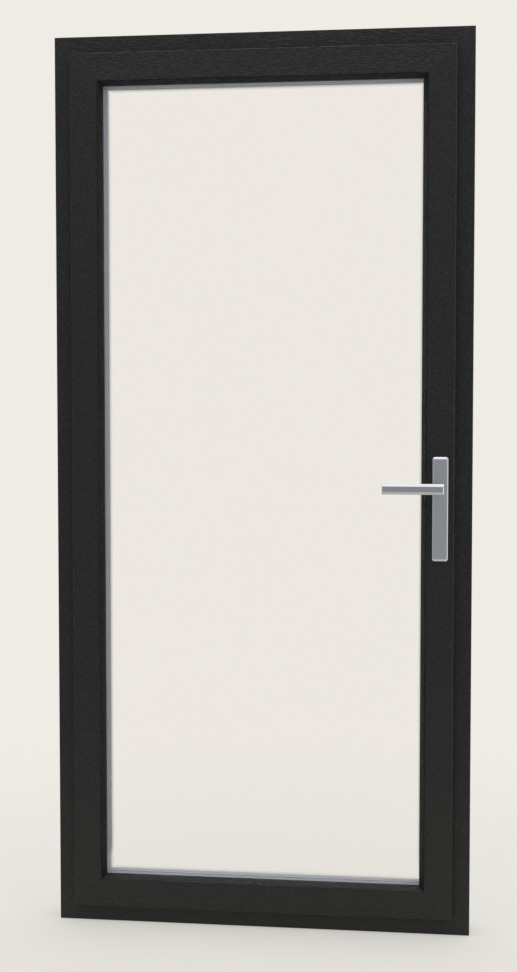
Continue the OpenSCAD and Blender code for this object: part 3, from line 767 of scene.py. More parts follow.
@dataclass(frozen=True)
class SpacerStrip(Finish):
    """Matt grey spacer with a row of fine vents along its middle.

    A pair of numbers is where a smooth step starts and where it is full.
    """

    roughness: float = 0.55
    gloss: float = 0.35
    middle_y: float = 0.0
    pitch: float = 0.004
    vent_half: float = 0.0004
    vent_fade: float = 0.6
    vent_long: tuple[float, float] = (0.16, 0.10)
    vent_deep: float = 0.0002
    vent_colour: Colour = (0.17, 0.178, 0.19)
    cloud_per_metre: float = 60.0
    cloud_dark: float = 0.9
    cloud_share: float = 0.1
    bottom_tone_level: tuple[float, float] = (0.17, 0.15)
    bottom_tone_gain: float = 1.38

    def varied(self, graph: Graph) -> dict[str, Source]:
        """Vents in a row along the strip, soft clouds, and a lighter tone on the bottom one.

        A vent is where y is near the middle and the fraction of (x + z) / pitch is
        near a half.

        Args:
            graph: the material's nodes.

        Returns:
            Colour, roughness and normal, by socket.
        """
        x, y, z = graph.axes()
        row = abs(y - self.middle_y).step(self.vent_half, self.vent_half * self.vent_fade)
        beat = graph.signal("ShaderNodeMath", {"operation": "FRACT"},
                            {0: (x + z) * (1 / self.pitch)})
        hole = row * abs(beat - 0.5).step(*self.vent_long)
        cloud = graph.noise((self.cloud_per_metre,) * 3)
        plain = graph.mixed(cloud, toned(self.colour, self.cloud_dark), self.colour)
        # lighter towards the bottom: the strip below the given level is toned lighter
        lighter_below = graph.mixed(z.step(*self.bottom_tone_level), plain, toned(self.colour, self.bottom_tone_gain))
        return {"Base Color": graph.mixed(hole, lighter_below, self.vent_colour),
                "Roughness": self.roughness + cloud * self.cloud_share,
                "Normal": graph.bump(cloud * self.cloud_share - hole, self.vent_deep,
                                     strength=0.7)}


@dataclass(frozen=True)
class ClearPane(Finish):
    """Float glass: it lets nearly everything through and mirrors a little."""

    roughness: float = 0.02
    index: float = 1.5
    mirror: float = 0.20
    mirror_tint: Colour = (0.95, 0.96, 0.96)
    film_per_metre: float = 4.0
    film: tuple[float, float] = (0.85, 0.3)
    sight: tuple[float, float, float] = (0.374, 0.116, 1.984)
    # rim: strength of a painted grey shade along the glass's edge
    rim: float = 0.0
    rim_reach: float = 0.012
    rim_shade_colour: Colour = (0.16, 0.165, 0.17)
    pale_height: tuple[float, float] = (0.06, 0.03)
    pale_share: float = 0.55

    def fill(self, graph: Graph) -> None:
        """Transparent and mirror shaders, mixed by the angle and a faint film of dust.

        Where rim is above 0, a painted shade, a soft grey band, fades inwards from the sight
        line: it is rim times the cube of what is left of its reach, and paler at the bottom.

        Args:
            graph: the material's empty node tree.
        """
        clean, dust = self.film
        film = graph.noise((self.film_per_metre,) * 3)
        edge_on = graph.signal("ShaderNodeFresnel", None, {"IOR": self.index})
        share = edge_on * self.mirror * (clean + film * dust)
        clear = graph.node("ShaderNodeBsdfTransparent", None, {"Color": (*self.colour, 1)})
        mirror = graph.node("ShaderNodeBsdfGlossy", None,
                            {"Color": (*self.mirror_tint, 1), "Roughness": self.roughness})
        both = graph.blend(share, clear, mirror)
        if self.rim > 0:
            x, _, z = graph.axes()
            half_width, bottom, top = self.sight
            inside = (half_width - abs(x)).least(z - bottom).least(top - z)
            left = (1 - inside * (1 / self.rim_reach)).clamped()
            above, below = (bottom + up for up in self.pale_height)
            paler = 1 - z.step(above, below) * self.pale_share
            # painted shade: a grey diffuse band mixed over the glass near its edges
            shade = graph.node("ShaderNodeBsdfDiffuse", None, {"Color": (*self.rim_shade_colour, 1)})
            both = graph.blend(left ** 3 * paler * self.rim, both, shade)
        graph.close(both)


# ---- Glazing ---------------------------------------------------------------


@dataclass
class GlazingBeads:
    """The four mitred beads that hold the glass unit, seen from the room."""

    foils: dict[Run, Foil]
    lowest: Foil
    foot: float = 7.0 * MM
    seat_back: float = 7.9 * MM
    nose_flat: float = 1.3 * MM
    nose_round: float = 0.9 * MM
    toe: float = 1.0 * MM
    arris: float = 0.5 * MM
    names: tuple[str, ...] = ("bottom_bead", "lock_bead", "top_bead", "hinge_bead")

    def profile(self) -> np.ndarray:
        """The bead's section: foot, rounded nose, slope and toe on the seal.

        Returns:
            n x 2 array of (distance inwards, y).
        """
        low, high = box_of(*self.names)
        narrow = box_of("hinge_bead")
        width = narrow[1][0] - narrow[0][0]
        front, back = low[1], high[1]
        seat = back - self.seat_back
        return rounded([
            (0, back, 0), (0, seat, 0), (self.foot, seat, 0), (self.foot, front, self.arris),
            (self.foot + self.nose_flat, front, self.nose_round),
            (width, back - self.toe, self.arris), (width, back, 0)])

    def build(self) -> list[bpy.types.Object]:
        """Carries the section along each side, cut at 45 degrees at both ends.

        Returns:
            The four pieces, from the bottom one round to the hinge side.
        """
        sides = Rectangle.round_nodes(*self.names)
        section = self.profile()
        foils = (self.lowest, self.foils[Run.ALONG_Z], self.foils[Run.ALONG_X],
                 self.foils[Run.ALONG_Z])
        return [place(sides.length(section, first).piece("glazing_" + node), foil, "leaf", node)
                for first, (node, foil) in enumerate(zip(self.names, foils))]


@dataclass
class Seals:
    """The rubber profiles round the glass and the bulb seal on the frame's stop."""

    rubber: Finish
    bead_lip_width: float = 8.0 * MM
    outer_lip_width: float = 6.0 * MM
    lip_past_bead: float = 1.2 * MM
    lip_past_leg: float = 0.4 * MM
    lip_level: float = 0.62
    lip_lean: float = 0.3 * MM
    lip_round: float = 0.8 * MM
    crease: float = 0.2 * MM
    bulb_width: float = 6.0 * MM
    bulb_wing: float = 1.0 * MM
    bulb_base: float = 0.9 * MM
    bulb_round: float = 1.7 * MM
    base_round: float = 0.3 * MM
    bulb_steps: int = 7

    def lip_profile(self, node: str, width: float, past: float, to_room: bool) -> np.ndarray:
        """A flat strip against the glass with a rounded lip that stands past its neighbour.

        Args:
            node: the CAD node that it stands for.
            width: width of the strip.
            past: how far the lip stands past the strip.
            to_room: whether the strip lies on the room side of the glass.

        Returns:
            n x 2 array of (distance inwards, y).
        """
        low, high = box_of(node)
        glass, back = (high[1], low[1]) if to_room else (low[1], high[1])
        lip = glass + (back - glass) * self.lip_level
        return rounded([
            (0, back, 0), (width, back, self.crease), (width + self.lip_lean, lip, self.crease),
            (width + past, lip, self.lip_round), (width + past, glass, 0), (0, glass, 0)])

    def bulb_profile(self, node: str, width: float) -> np.ndarray:
        """A clipped base with a round bulb that the leaf presses on.

        Args:
            node: the CAD node that it stands for.
            width: width of the base.

        Returns:
            n x 2 array of (distance inwards, y).
        """
        low, high = box_of(node)
        back, front, wing = high[1], low[1], self.bulb_wing
        shoulder = back - self.bulb_base
        return rounded([
            (0, back, 0), (0, shoulder, self.base_round), (wing, shoulder, self.crease),
            (wing, front, self.bulb_round), (width - wing, front, self.bulb_round),
            (width - wing, shoulder, self.crease), (width, shoulder, self.base_round),
            (width, back, 0)], self.bulb_steps)

    def build(self) -> list[bpy.types.Object]:
        """Carries each profile all the way round.

        Returns:
            The three seals.
        """
        inner, outer, stop = "bead_gasket", "outer_glazing_gasket", "frame_gasket"
        profiles = (
            (inner, "leaf", self.lip_profile(inner, self.bead_lip_width, self.lip_past_bead, True)),
            (outer, "leaf",
             self.lip_profile(outer, self.outer_lip_width, self.lip_past_leg, False)),
            (stop, "frame", self.bulb_profile(stop, self.bulb_width)))
        return [place(Rectangle.round_nodes(node).ring(profile).piece("seal_" + node, SEAL_SHARP),
                      self.rubber, body, node) for node, body, profile in profiles]


@dataclass
class SpacerBars:
    """The two spacers between the panes, each with a shallow vented channel."""

    height: float = 8.0 * MM
    channel_half: float = 2.4 * MM
    channel_deep: float = 0.5 * MM
    edge_gap: float = 0.04 * MM
    edge_round: float = 0.7 * MM
    crease: float = 0.2 * MM
    colours: tuple[Colour, Colour] = ((0.225, 0.238, 0.262), (0.285, 0.297, 0.318))

    def profile(self, low: float, high: float) -> np.ndarray:
        """A box section with a channel along the side that faces the opening.

        Args:
            low: y of the bar's room side.
            high: y of its outer side.

        Returns:
            n x 2 array of (distance inwards, y).
        """
        middle, first, last = (low + high) / 2, low + self.edge_gap, high - self.edge_gap
        top, half, slope = self.height, self.channel_half, self.channel_deep
        return rounded([
            (0, first, 0), (top, first, self.edge_round), (top, middle - half, self.crease),
            (top - slope, middle - half + slope, self.crease),
            (top - slope, middle + half - slope, self.crease),
            (top, middle + half, self.crease), (top, last, self.edge_round), (0, last, 0)], 4)

    def build(self) -> list[bpy.types.Object]:
        """Carries the section round the opening, once for each cavity.

        Returns:
            The two bars.
        """
        made = []
        for node, colour in zip(("inner_spacer", "outer_spacer"), self.colours):
            low, high = box_of(node)[:, 1]
            finish = SpacerStrip("strip_" + node, "grey_spacer", colour, middle_y=(low + high) / 2)
            bar = Rectangle.round_nodes(node).ring(self.profile(low, high))
            made.append(place(bar.piece("bar_" + node, SEAL_SHARP), finish, "leaf", node))
        return made


# ---- Handle ----------------------------------------------------------------


@dataclass
class LeverHandle:
    """The flat bevelled lever and the round neck that it turns on.

    hair is a distance too fine to see that keeps neighbouring points apart.
    """

    metal: Finish
    neck_metal: Finish
    depth: float = 13.0 * MM
    bevel_height: float = 6.0 * MM
    bevel_depth: float = 4.0 * MM
    end_bevel: float = 2.0 * MM
    back_bevel: float = 1.5 * MM
    edge: float = 0.55 * MM
    most_share: float = 0.97
    inset_drop: float = 0.4
    turn: float = 0.45 * MM
    hair: float = 0.01 * MM
    rim_stations: int = 5
    slope_stations: int = 4
    ease_stations: int = 5
    neck_radius: float = 9.5 * MM
    neck_sides: int = 64
    neck_start: tuple[float, float] = (1.5 * MM, 2.0 * MM)
    groove: float = 0.4 * MM
    groove_from: float = 1.5 * MM
    groove_to: tuple[float, float] = (0.6 * MM, 1.0 * MM)

    def section(self, drop: float, inset: float) -> np.ndarray:
        """The bar's section where its front is lowered and its edge drawn in.

        Lowering the front by a share of the bevel's depth widens the flat by the same
        share of the bevel's height, so the two bevels meet in a straight mitre.

        Args:
            drop: how far the front lies behind the lever's front.
            inset: how far every side is drawn in.

        Returns:
            n x 2 array of (y, z).
        """
        low, high = box_of("inner_lever")
        front, middle = low[1], (low[2] + high[2]) / 2
        half = (high[2] - low[2]) / 2 - inset
        back = front + self.depth - inset
        share = min(drop / self.bevel_depth, self.most_share)
        flat = half - self.bevel_height * (1 - share)
        face = front + self.bevel_depth * share + inset * self.inset_drop
        knee = max(front + self.bevel_depth, face + 2 * self.hair)
        soft = self.turn * (1 - share) + self.hair
        upper = [(face, flat, soft), (knee, half, soft), (back - self.back_bevel, half, self.turn),
                 (back, half - self.back_bevel, self.turn)]
        corners = upper + [(y, -z, radius) for y, z, radius in reversed(upper)]
        return rounded(corners) + np.array([0, middle])

    def stations(self) -> np.ndarray:
        """Where the sections near an end stand: a rounded rim, then the end's bevel.

        The rim is a quarter circle of the edge's radius. Past it the front rises
        straight up the end's bevel, and the last of the rise eases off with a square.

        Returns:
            n x 3 array of (distance from the end, drop, inset).
        """
        angle = np.linspace(0, QUARTER, self.rim_stations)
        rim, inset = self.edge * (1 - np.cos(angle)), self.edge * (1 - np.sin(angle))
        slope = np.linspace(self.edge, self.end_bevel - self.edge / 2, self.slope_stations)[1:]
        ease = np.linspace(slope[-1], self.end_bevel + self.edge, self.ease_stations)[1:]
        where = np.concatenate([rim, slope, ease])
        straight = self.bevel_depth * np.clip(1 - where / self.end_bevel, 0, 1)
        start = self.bevel_depth * self.edge / 2 / self.end_bevel
        gap = ease[1] - ease[0]
        into = np.clip((where - ease[0] + gap) / (ease[-1] - ease[0] + gap), 0, 1)
        drop = np.where(where >= slope[-1] - 1e-9, start * (1 - into) ** 2, straight)
        return np.stack([where, drop, np.pad(inset, (0, len(slope) + len(ease)))], -1)

    def bar(self) -> Shell:
        """Sections carried along X from the free end to the neck's end.

        Returns:
            The closed bar.
        """
        low, high = box_of("inner_lever")
        ends = self.stations()
        near = [(low[0] + s, self.section(drop, inset)) for s, drop, inset in ends]
        far = [(high[0] - s, self.section(drop, inset)) for s, drop, inset in ends[::-1]]
        return Shell.tube(np.stack([np.insert(outline, 0, x, axis=1) for x, outline in near + far]))

    def neck(self, axis: np.ndarray) -> Shell:
        """A round neck with a fine shadow groove where it leaves the bar.

        Args:
            axis: a point of the axis that it turns on.

        Returns:
            The closed neck.
        """
        low, high = box_of("inner_lever")
        radius, start, cut = self.neck_radius, low[1] + self.depth, self.groove
        narrower, before = self.neck_start
        cut_end, full = self.groove_to
        profile = np.array([
            (radius - narrower, start - before), (radius - cut, start - self.groove_from),
            (radius - cut, start + cut_end), (radius, start + full),
            (radius, high[1] - cut), (radius - cut, high[1])])
        return turned(profile, axis, self.neck_sides)

    def build(self) -> list[bpy.types.Object]:
        """Makes the bar and the neck; together they stand for the lever's node.

        Returns:
            The two pieces.
        """
        bar, neck = self.bar(), self.neck(axis_of("handle_turn"))
        return [place(shell.piece(name, METAL_SHARP), metal, "handle", "inner_lever")
                for shell, name, metal in ((bar, "lever_bar", self.metal),
                                           (neck, "lever_neck", self.neck_metal))]


@dataclass
class Backplate:
    """The long bevelled cover that hides the handle's fixings."""

    metal: Finish
    wall: float = 1.6 * MM
    bevel: float = 5.0 * MM
    side_share: float = 0.45
    bevel_depth: float = 3.0 * MM
    corner: float = 5.6 * MM
    hole_radius: float = 9.9 * MM
    hole_lip: float = 0.35 * MM
    edge: float = 0.6 * MM
    corner_least: float = 1.5 * MM
    corner_steps: int = 6
    end_margin: float = 8.0 * MM
    fan_deg: tuple[float, float] = (75.0, 7.5)
    end_points: int = 5
    end_share: float = 0.7
    face_reach: float = 6.0 * MM
    lean_share: float = 0.6

    def outline(self, inset: float) -> np.ndarray:
        """A rounded rectangle drawn in by inset.

        Corner points are the corner's centre plus its radius turned through a quarter.
        Those on the long sides lie where lines fanned out from the lever's axis at even
        angles meet the side, and those on the short sides are evenly apart.

        Args:
            inset: how far the outline is drawn in.

        Returns:
            n x 2 array of (x, z), the same count for every inset.
        """
        low, high = box_of("backplate_cover")
        level = axis_of("handle_turn")[2]
        radius = max(self.corner - inset * self.side_share, self.corner_least)
        reach, centre_x = (high[0] - low[0]) / 2, (high[0] + low[0]) / 2
        half = reach - inset * (self.side_share if inset > self.wall else 1)
        bottom, top = low[2] + inset, high[2] - inset
        widest, apart = self.fan_deg
        beside = level + reach * np.tan(np.radians(np.arange(-widest, widest + 1, apart)))
        beside = beside[(beside > low[2] + self.end_margin) & (beside < high[2] - self.end_margin)]
        across = np.linspace(-self.end_share, self.end_share, self.end_points) * (half - radius)
        turn = np.linspace(0, QUARTER, self.corner_steps + 1)

        def corner(quarter: int) -> np.ndarray:
            """Points of one corner's arc.

            Args:
                quarter: number of the corner, from the upper one at +X.

            Returns:
                n x 2 array of (x, z).
            """
            x = half - radius if quarter in (0, 3) else radius - half
            z = top - radius if quarter < 2 else bottom + radius
            angle = quarter * QUARTER + turn
            return (centre_x + x, z) + radius * np.stack([np.cos(angle), np.sin(angle)], -1)

        def points(x: np.ndarray, z: np.ndarray) -> np.ndarray:
            """Points of one straight side."""
            return np.stack(np.broadcast_arrays(x, z), -1)

        return np.concatenate([
            points(centre_x + half, beside), corner(0), points(centre_x - across, top), corner(1),
            points(centre_x - half, beside[::-1]), corner(2), points(centre_x + across, bottom),
            corner(3)])

    def hole(self, outline: np.ndarray, radius: float) -> np.ndarray:
        """Points of the hole's rim, each on the line from its middle to the outline's point.

        Args:
            outline: n x 2 array of the outline's (x, z).
            radius: radius of the rim.

        Returns:
            n x 2 array of (x, z).
        """
        middle = axis_of("handle_turn")[[0, 2]]
        away = outline - middle
        return middle + radius * away / np.linalg.norm(away, axis=1, keepdims=True)

    def shell(self) -> Shell:
        """Rings over the bevel, down the side, back up inside and out through the hole.

        Returns:
            The closed cover.
        """
        low, high = box_of("backplate_cover")
        front, back, lean = low[1], high[1], self.wall * self.lean_share
        knee = front + self.bevel_depth
        soft = rounded([
            (self.bevel + self.face_reach, front, 0), (self.bevel, front, self.edge),
            (0, knee, self.edge), (0, back, 0), (self.wall, back, 0), (self.wall, knee + lean, 0),
            (self.bevel + lean, front + self.wall, 0)], 4)
        rings = [np.insert(self.outline(inset), 1, y, axis=1) for inset, y in soft[1:]]
        rim = self.outline(self.bevel)
        opening = ((self.hole_radius, front + self.wall), (self.hole_radius, front + self.hole_lip),
                   (self.hole_radius + self.hole_lip, front))
        rings += [np.insert(self.hole(rim, radius), 1, y, axis=1) for radius, y in opening]
        return Shell.loop(np.stack(rings))

    def build(self) -> list[bpy.types.Object]:
        """Makes the cover."""
        cover = self.shell().piece("backplate_shell", METAL_SHARP)
        return [place(cover, self.metal, "leaf", "backplate_cover")]


# ---- Screws ----------------------------------------------------------------


@dataclass(frozen=True)
class ScrewSite:
    """Where a countersunk screw's head lies and which way it points along X."""

    x: float
    y: float
    z: float
    points: int


@dataclass
class Screws:
    """Countersunk screws with a six-lobed recess.

    In the names of places, in is the distance of a screw from its part's sides and up
    is its height above the part's lower end.
    """

    metal: Finish
    door_height: float
    head_radius: float = 4.0 * MM
    head_edge: tuple[float, float] = (0.25 * MM, 0.15 * MM)
    shank_radius: float = 2.0 * MM
    length: float = 16.0 * MM
    tip: float = 3.0 * MM
    tip_radius: float = 0.5 * MM
    lobes: int = 6
    lobe: float = 1.35 * MM
    lobe_wave: float = 0.22 * MM
    lobe_floor: float = 0.9
    recess_deep: float = 1.3 * MM
    recess_point: tuple[float, float] = (0.3 * MM, 0.2 * MM)
    sunk: float = 0.02 * MM
    count: int = 36
    block_in: float = 4.0 * MM
    block_up: tuple[float, float] = (8.0 * MM, 22.0 * MM)
    plate_in: float = 50.0 * MM
    plate_levels: tuple[float, float] = (0.650, 1.450)
    bracket_in: tuple[float, float] = (10.0 * MM, 15.0 * MM)
    bracket_up: tuple[float, float, float] = (22.0 * MM, 40.0 * MM, 58.0 * MM)
    keep_in: tuple[float, float] = (2.5 * MM, 6.0 * MM)
    keep_up: tuple[float, float] = (8.0 * MM, 58.0 * MM)

    def shell(self, site: ScrewSite) -> Shell:
        """Rings along the screw's axis; the recess rings wave with cos 6t round them.

        Args:
            site: where the head lies.

        Returns:
            The closed screw.
        """
        angle = np.linspace(0, FULL_TURN, self.count, endpoint=False)
        lobes = self.lobe + self.lobe_wave * np.cos(self.lobes * angle)
        recess, shank = self.recess_deep, self.shank_radius
        point, sink = self.recess_point
        chamfer, fall = self.head_edge
        rings = ((point, recess + sink), (lobes * self.lobe_floor, recess), (lobes, self.sunk),
                 (self.head_radius - chamfer, self.sunk), (self.head_radius, fall), (shank, shank),
                 (shank, self.length - self.tip), (self.tip_radius, self.length))
        return Shell.tube(np.stack([
            np.stack([np.full(self.count, site.x + site.points * depth),
                      site.y + radius * np.cos(angle), site.z + radius * np.sin(angle)], -1)
            for radius, depth in rings]))

    def both_ends(self, x: float, y: float, heights: Sequence[float],
                  points: int) -> list[ScrewSite]:
        """Sites near the bottom and the same ones measured down from the top.

        Args:
            x: x of the heads.
            y: y of the screws' axes.
            heights: heights of the lower ones.
            points: 1 where they point along +X, -1 along -X.

        Returns:
            The sites, the lower ones first.
        """
        levels = [*heights, *(self.door_height - height for height in heights)]
        return [ScrewSite(x, y, level, points) for level in levels]

    def leaf_sites(self) -> list[ScrewSite]:
        """Screws of the hinge blocks and of the faceplate.

        Returns:
            Their sites.
        """
        low, high = box_of("lower_hinge_block")
        block = self.both_ends(high[0] - self.block_in, high[1] - self.block_in,
                               [low[2] + up for up in self.block_up], 1)
        low, high = box_of("faceplate")
        levels = (low[2] + self.plate_in, *self.plate_levels, high[2] - self.plate_in)
        return block + [ScrewSite(high[0], (low[1] + high[1]) / 2, level, -1) for level in levels]

    def frame_sites(self) -> list[ScrewSite]:
        """Screws of the hinge brackets and of the keeps.

        Returns:
            Their sites.
        """
        low, high = box_of("lower_hinge_bracket")
        across, back = self.bracket_in
        sites = self.both_ends(low[0] + across, high[1] - back,
                               [low[2] + up for up in self.bracket_up], -1)
        across, back = self.keep_in
        for node in ("lower_keep", "middle_keep", "upper_keep"):
            low, high = box_of(node)
            sites += [ScrewSite(high[0] - across, high[1] - back, low[2] + up, 1)
                      for up in self.keep_up]
        return sites

    def build(self) -> list[bpy.types.Object]:
        """Makes the leaf's screws and the frame's.

        Returns:
            The two pieces.
        """
        groups = (("screws_on_leaf", "leaf", "leaf_screws", self.leaf_sites()),
                  ("screws_on_frame", "frame", "frame_screws", self.frame_sites()))
        return [place(Shell.joined(map(self.shell, sites)).piece(name, METAL_SHARP),
                      self.metal, body, node)
                for name, body, node, sites in groups]


# ---- Studio ----------------------------------------------------------------


@dataclass
class Studio:
    """Pale floor, soft light from above and the camera."""

    backdrop: Colour = (0.864, 0.839, 0.782)
    floor: Colour = (0.37, 0.362, 0.338)
    floor_glow: Colour = (0.425, 0.415, 0.385)
    floor_half: float = 3.2
    floor_points: int = 9
    floor_level: float = -0.5 * MM
    floor_fade: tuple[float, float] = (0.5, 2.3)
    camera_place: tuple[float, float, float] = (0.5037, -3.8358, 1.2730)
    camera_turn: tuple[float, float, float] = (math.pi / 2 - 0.058, 0.0, 0.1338)
    lens: float = 60.63
    sensor: float = 36.0
    clip: tuple[float, float] = (0.05, 60.0)
    lamp_at: tuple[float, float, float] = (0.2, -1.1, 3.9)
    lamp_aim: tuple[float, float, float] = (0.0, 0.0, 1.0)
    lamp_size: tuple[float, float] = (3.4, 2.2)
    lamp_watts: float = 19.0
    bounces: int = 24
    room_tint: Colour = (0.98, 0.99, 1.0)
    room_front: float = 0.385
    room_sides: tuple[tuple[int, float, float, float], ...] = (
        (0, 0.30, 1.00, 0.60), (0, -0.30, -1.00, 0.25), (1, 0.05, 0.80, 0.75),
        (2, 0.35, 0.85, 0.50), (2, -0.40, -0.90, 0.60))

    def camera(self) -> None:
        """Places the camera."""
        eye = bpy.data.cameras.new("camera")
        eye.lens, eye.sensor_width = self.lens, self.sensor
        eye.clip_start, eye.clip_end = self.clip
        stand = bpy.data.objects.new("camera", eye)
        stand.location, stand.rotation_euler = self.camera_place, self.camera_turn
        bpy.context.scene.collection.objects.link(stand)
        bpy.context.scene.camera = stand

    def world(self) -> None:
        """A pale backdrop, and round it a room that is darkest behind the camera.

        The room's light is a level for the front plus, for each side, its own level
        times a smooth step of the direction's part along that axis.
        """
        around = bpy.data.worlds.new("studio")
        bpy.context.scene.world = around
        around.use_nodes = True
        graph = Graph(around.node_tree)
        aim = graph.node("ShaderNodeTexCoord").outputs["Generated"]
        parts = graph.node("ShaderNodeSeparateXYZ", None, {0: aim}).outputs
        level: Source = self.room_front
        for axis, start, full, gain in self.room_sides:
            level = Signal(graph, parts[axis]).step(start, full) * gain + level
        room, seen = (graph.node("ShaderNodeBackground", None,
                                 {"Color": (*tint, 1), "Strength": strength})
                      for tint, strength in ((self.room_tint, level), (self.backdrop, 1.0)))
        path = graph.node("ShaderNodeLightPath").outputs["Is Camera Ray"]
        graph.close(graph.blend(path, room, seen), "World")

    def softbox(self, name: str) -> None:
        """Hangs the large soft lamp.

        It first points down; the first turn tips it up to its aim's slope, and the
        second swings it round to its aim's heading.

        Args:
            name: name of the lamp.
        """
        lamp = bpy.data.lights.new(name, "AREA")
        lamp.shape, lamp.size, lamp.size_y = "RECTANGLE", *self.lamp_size
        lamp.energy = self.lamp_watts
        hung = bpy.data.objects.new(name, lamp)
        bpy.context.scene.collection.objects.link(hung)
        towards = np.array(self.lamp_aim) - np.array(self.lamp_at)
        x, y, z = towards / np.linalg.norm(towards)
        hung.location = self.lamp_at
        hung.rotation_euler = (math.acos(-z), 0, math.atan2(-x, y))

    def ground(self) -> None:
        """A square pale floor that fades into the backdrop round the door.

        Its paint gives way to clear over a smooth step of the distance from the
        middle, which is the root of x squared and y squared.
        """
        x, y = np.meshgrid(*[np.linspace(-self.floor_half, self.floor_half, self.floor_points)] * 2)
        points = np.stack([x.ravel(), y.ravel(), np.full(x.size, self.floor_level)], -1)
        faces = grid_faces(self.floor_points, self.floor_points, False, False)
        floor = Shell(points, [faces]).piece("floor")
        if floor.data.polygons[0].normal.z < 0:
            floor.data.flip_normals()
        made = bpy.data.materials.new("floor_paint")
        made.use_nodes = True
        graph = Graph(made.node_tree)
        across, along, _ = graph.axes()
        far = (across * across + along * along) ** 0.5
        paint = graph.node("ShaderNodeBsdfPrincipled", None,
                           {"Base Color": (*self.floor, 1), "Roughness": 0.9,
                            "Specular IOR Level": 0.1, "Emission Color": (*self.floor_glow, 1),
                            "Emission Strength": 1.0})
        gone = graph.node("ShaderNodeBsdfTransparent")
        graph.close(graph.blend(far.step(*self.floor_fade), paint, gone))
        floor.data.materials.append(made)

    def build(self) -> None:
        """Sets the whole studio."""
        scene = bpy.context.scene
        scene.view_settings.view_transform = "Standard"
        scene.cycles.transparent_max_bounces = self.bounces
        self.camera()
        self.world()
        self.softbox("ceiling_light")
        self.ground()


# ---- Assembly --------------------------------------------------------------


def axis_of(joint: str) -> np.ndarray:
    """A point of a joint's axis at rest.

    Args:
        joint: the joint's name.

    Returns:
        The point, in metres.
    """
    found = next(j for j in frame["joints"] if j["name"] == joint)
    return np.array(found["pos_m"], float)


def place(piece: bpy.types.Object, finish: Finish, body: str, *nodes: str) -> bpy.types.Object:
    """Dresses a new piece and puts it on its body, in place of its CAD nodes.

    Args:
        piece: the new piece.
        finish: its finish, with the record's material slot.
        body: the body that it rides on.
        nodes: the CAD nodes that it stands for.

    Returns:
        The piece.
    """
    finish.dress(piece)
    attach(piece, body)
    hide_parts(*nodes)
    return piece


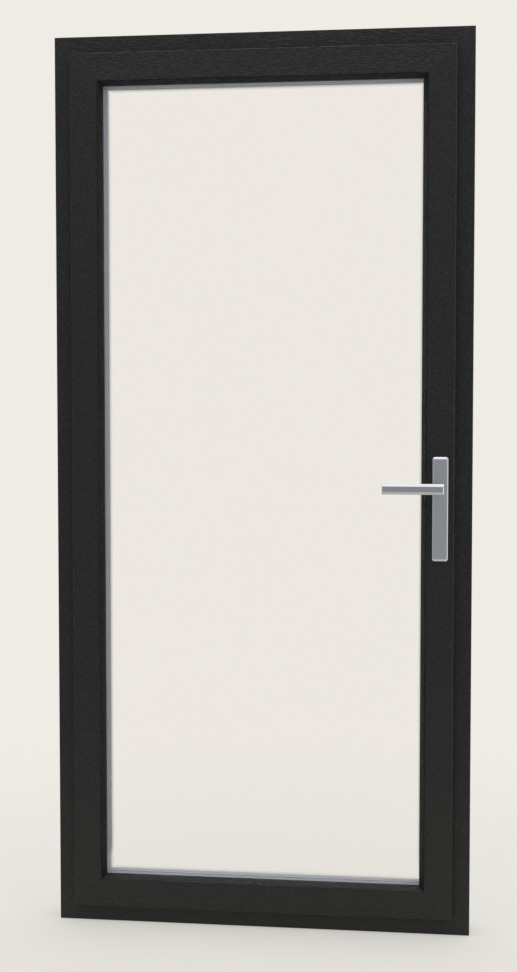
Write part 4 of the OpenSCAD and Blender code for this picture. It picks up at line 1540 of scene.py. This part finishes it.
@dataclass
class Wardrobe:
    """The finishes of the door, and which CAD nodes wear them."""

    door: tuple[float, float]
    foil_colour: Colour = (0.0046, 0.0046, 0.0047)

    def foils(self) -> dict[Run, Foil]:
        """The foil for level members, with the bolder grain, and for upright ones.

        Returns:
            The two finishes, by the way that the member runs.
        """
        level = Foil("foil_level", "dark_foil", self.foil_colour, run=Run.ALONG_X, door=self.door)
        # the upright foil's wrinkle crests carry a slightly lighter painted highlight
        upright = replace(level, name="foil_upright", run=Run.ALONG_Z, wrinkle_along=170,
                          crest_highlight=(0.018, 0.018, 0.0185), wrinkle_deep=0.0004)
        return {Run.ALONG_X: level, Run.ALONG_Z: upright}

    def changed(self, ending: str, halve: bool = False, **values: Any) -> dict[Run, Foil]:
        """Both foils with some values changed.

        Args:
            ending: what is added to their names.
            halve: whether the wrinkles are half as deep.
            values: new values for their fields.

        Returns:
            The two finishes, by the way that the member runs.
        """
        share = 0.5 if halve else 1.0
        return {run: replace(foil, name=foil.name + ending, wrinkle_deep=foil.wrinkle_deep * share,
                             **values) for run, foil in self.foils().items()}

    def leaf_foils(self) -> dict[Run, Foil]:
        """The same foil on the leaf, whose outer edge is rounded over and carries a painted
        highlight.
        """
        low, high = box_of("sash_top_rail", "sash_bottom_rail", "sash_hinge_stile",
                           "sash_lock_stile")
        return self.changed("_leaf", leaf=(float(high[0]), float(low[2]), float(high[2])))

    def bead_foils(self) -> dict[Run, Foil]:
        """The same foil drawn tighter over the beads, so with a duller, flatter grain."""
        return self.changed("_bead", halve=True, gloss=0.2)

    def others(self) -> dict[str, Finish]:
        """The metals, rubber, sealant, nylon and plastics.

        Returns:
            The finishes, by a short name.
        """
        silver, lever = (0.585, 0.602, 0.635), (0.545, 0.560, 0.590)
        return {
            "lever": BrushedMetal("satin_lever", "satin_silver", lever, 0.30, run=Run.ALONG_X,
                                  line_across=1500, contrast=0.05),
            "plate": BrushedMetal("satin_plate", "satin_silver", silver, 0.32,
                                  line_across=700, line_along=25, contrast=0.13),
            "zinc": BrushedMetal("zinc_plate", "zinc_hardware", (0.62, 0.63, 0.65), 0.34),
            "galvanised": Spangled("galvanised", "galvanised_steel", (0.56, 0.58, 0.60), 0.42),
            "sintered": Moulded("sintered", "sintered_steel", (0.20, 0.19, 0.17), 0.55),
            "dark": Moulded("dark_steel", "dark_steel", (0.05, 0.05, 0.055), 0.35),
            "rubber": Moulded("rubber", "black_rubber", (0.010, 0.0115, 0.015), 0.48, clouding=0.2),
            "sealant": Moulded("sealant", "edge_sealant", (0.02, 0.02, 0.021), 0.6,
                               grain_per_metre=700, grain_deep=0.0001),
            "packer": Moulded("packer", "blue_packer", (0.03, 0.10, 0.42), 0.45),
            "nylon": Moulded("nylon", "white_nylon", (0.78, 0.77, 0.73), 0.4),
            "base": Moulded("base_plastic", "grey_plastic", (0.14, 0.145, 0.15), 0.5),
        }

    def panes(self) -> tuple[ClearPane, ClearPane]:
        """The clear glass, and the outer pane's with a painted shade along the sight line.

        Returns:
            The two finishes.
        """
        clear = ClearPane("clear_pane", "clear_glass", (0.9998, 0.9985, 0.9985))
        side, top = float(box_of("lock_bead")[0][0]), float(box_of("top_bead")[0][2])
        return clear, replace(clear, name="clear_pane_rim_shaded", rim=0.6,
                              sight=(side, self.door[1] - top, top))

    def dress_nodes(self, nodes: dict[str, bpy.types.Object]) -> dict[str, Finish]:
        """Gives every CAD node its finish.

        Args:
            nodes: the frame's nodes by name.

        Returns:
            The finishes that the new pieces share, by name.
        """
        foils, leaf_foils, other = self.foils(), self.leaf_foils(), self.others()
        level, upright = foils[Run.ALONG_X], foils[Run.ALONG_Z]
        clear, shaded = self.panes()
        by_ending: dict[tuple[str, ...], Finish] = {
            ("outer_pane",): shaded,
            ("_pane",): clear,
            ("_steel",): other["galvanised"],
            ("_rail",): leaf_foils[Run.ALONG_X],
            ("_stile",): leaf_foils[Run.ALONG_Z],
            ("_head", "_sill", "top_bead", "bottom_bead", "drain_caps"): level,
            ("_jamb", "hinge_bead", "lock_bead"): upright,
            ("gasket",): other["rubber"],
            ("edge_seal",): other["sealant"],
            ("setting_blocks",): other["packer"],
            ("hinge_washers", "lever_bush"): other["nylon"],
            ("backplate_base", "_spacer"): other["base"],
            ("pinion",): other["sintered"],
            ("grub_screw",): other["dark"],
            ("backplate_cover",): other["plate"],
            ("inner_lever",): other["lever"],
            ("",): other["zinc"],
        }
        for name, node in nodes.items():
            finish = next(f for endings, f in by_ending.items() if name.endswith(endings))
            finish.dress(node)
            LOG.info("%-22s wears %s", name, finish.name)
        return {"level": level, **other}


def main() -> None:
    """Builds the looks around the frame, piece by piece."""
    logging.basicConfig(level=logging.INFO, format="%(message)s", force=True)
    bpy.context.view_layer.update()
    low, high = box_of("frame_head", "frame_sill", "frame_hinge_jamb", "frame_lock_jamb")
    door = (float(high[0]), float(high[2]))
    Studio().build()
    wardrobe = Wardrobe(door)
    finishes = wardrobe.dress_nodes(frame["nodes"])
    assemblies = (
        GlazingBeads(wardrobe.bead_foils(), finishes["level"]),
        Seals(finishes["rubber"]),
        SpacerBars(),
        LeverHandle(finishes["lever"], finishes["plate"]),
        Backplate(finishes["plate"]),
        Screws(finishes["zinc"], door[1]),
    )
    for assembly in assemblies:
        for piece in assembly.build():
            LOG.info("%-14s made %-28s %6d faces on %s", type(assembly).__name__, piece.name,
                     len(piece.data.polygons), piece["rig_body"])


if __name__ == "__main__":
    main()
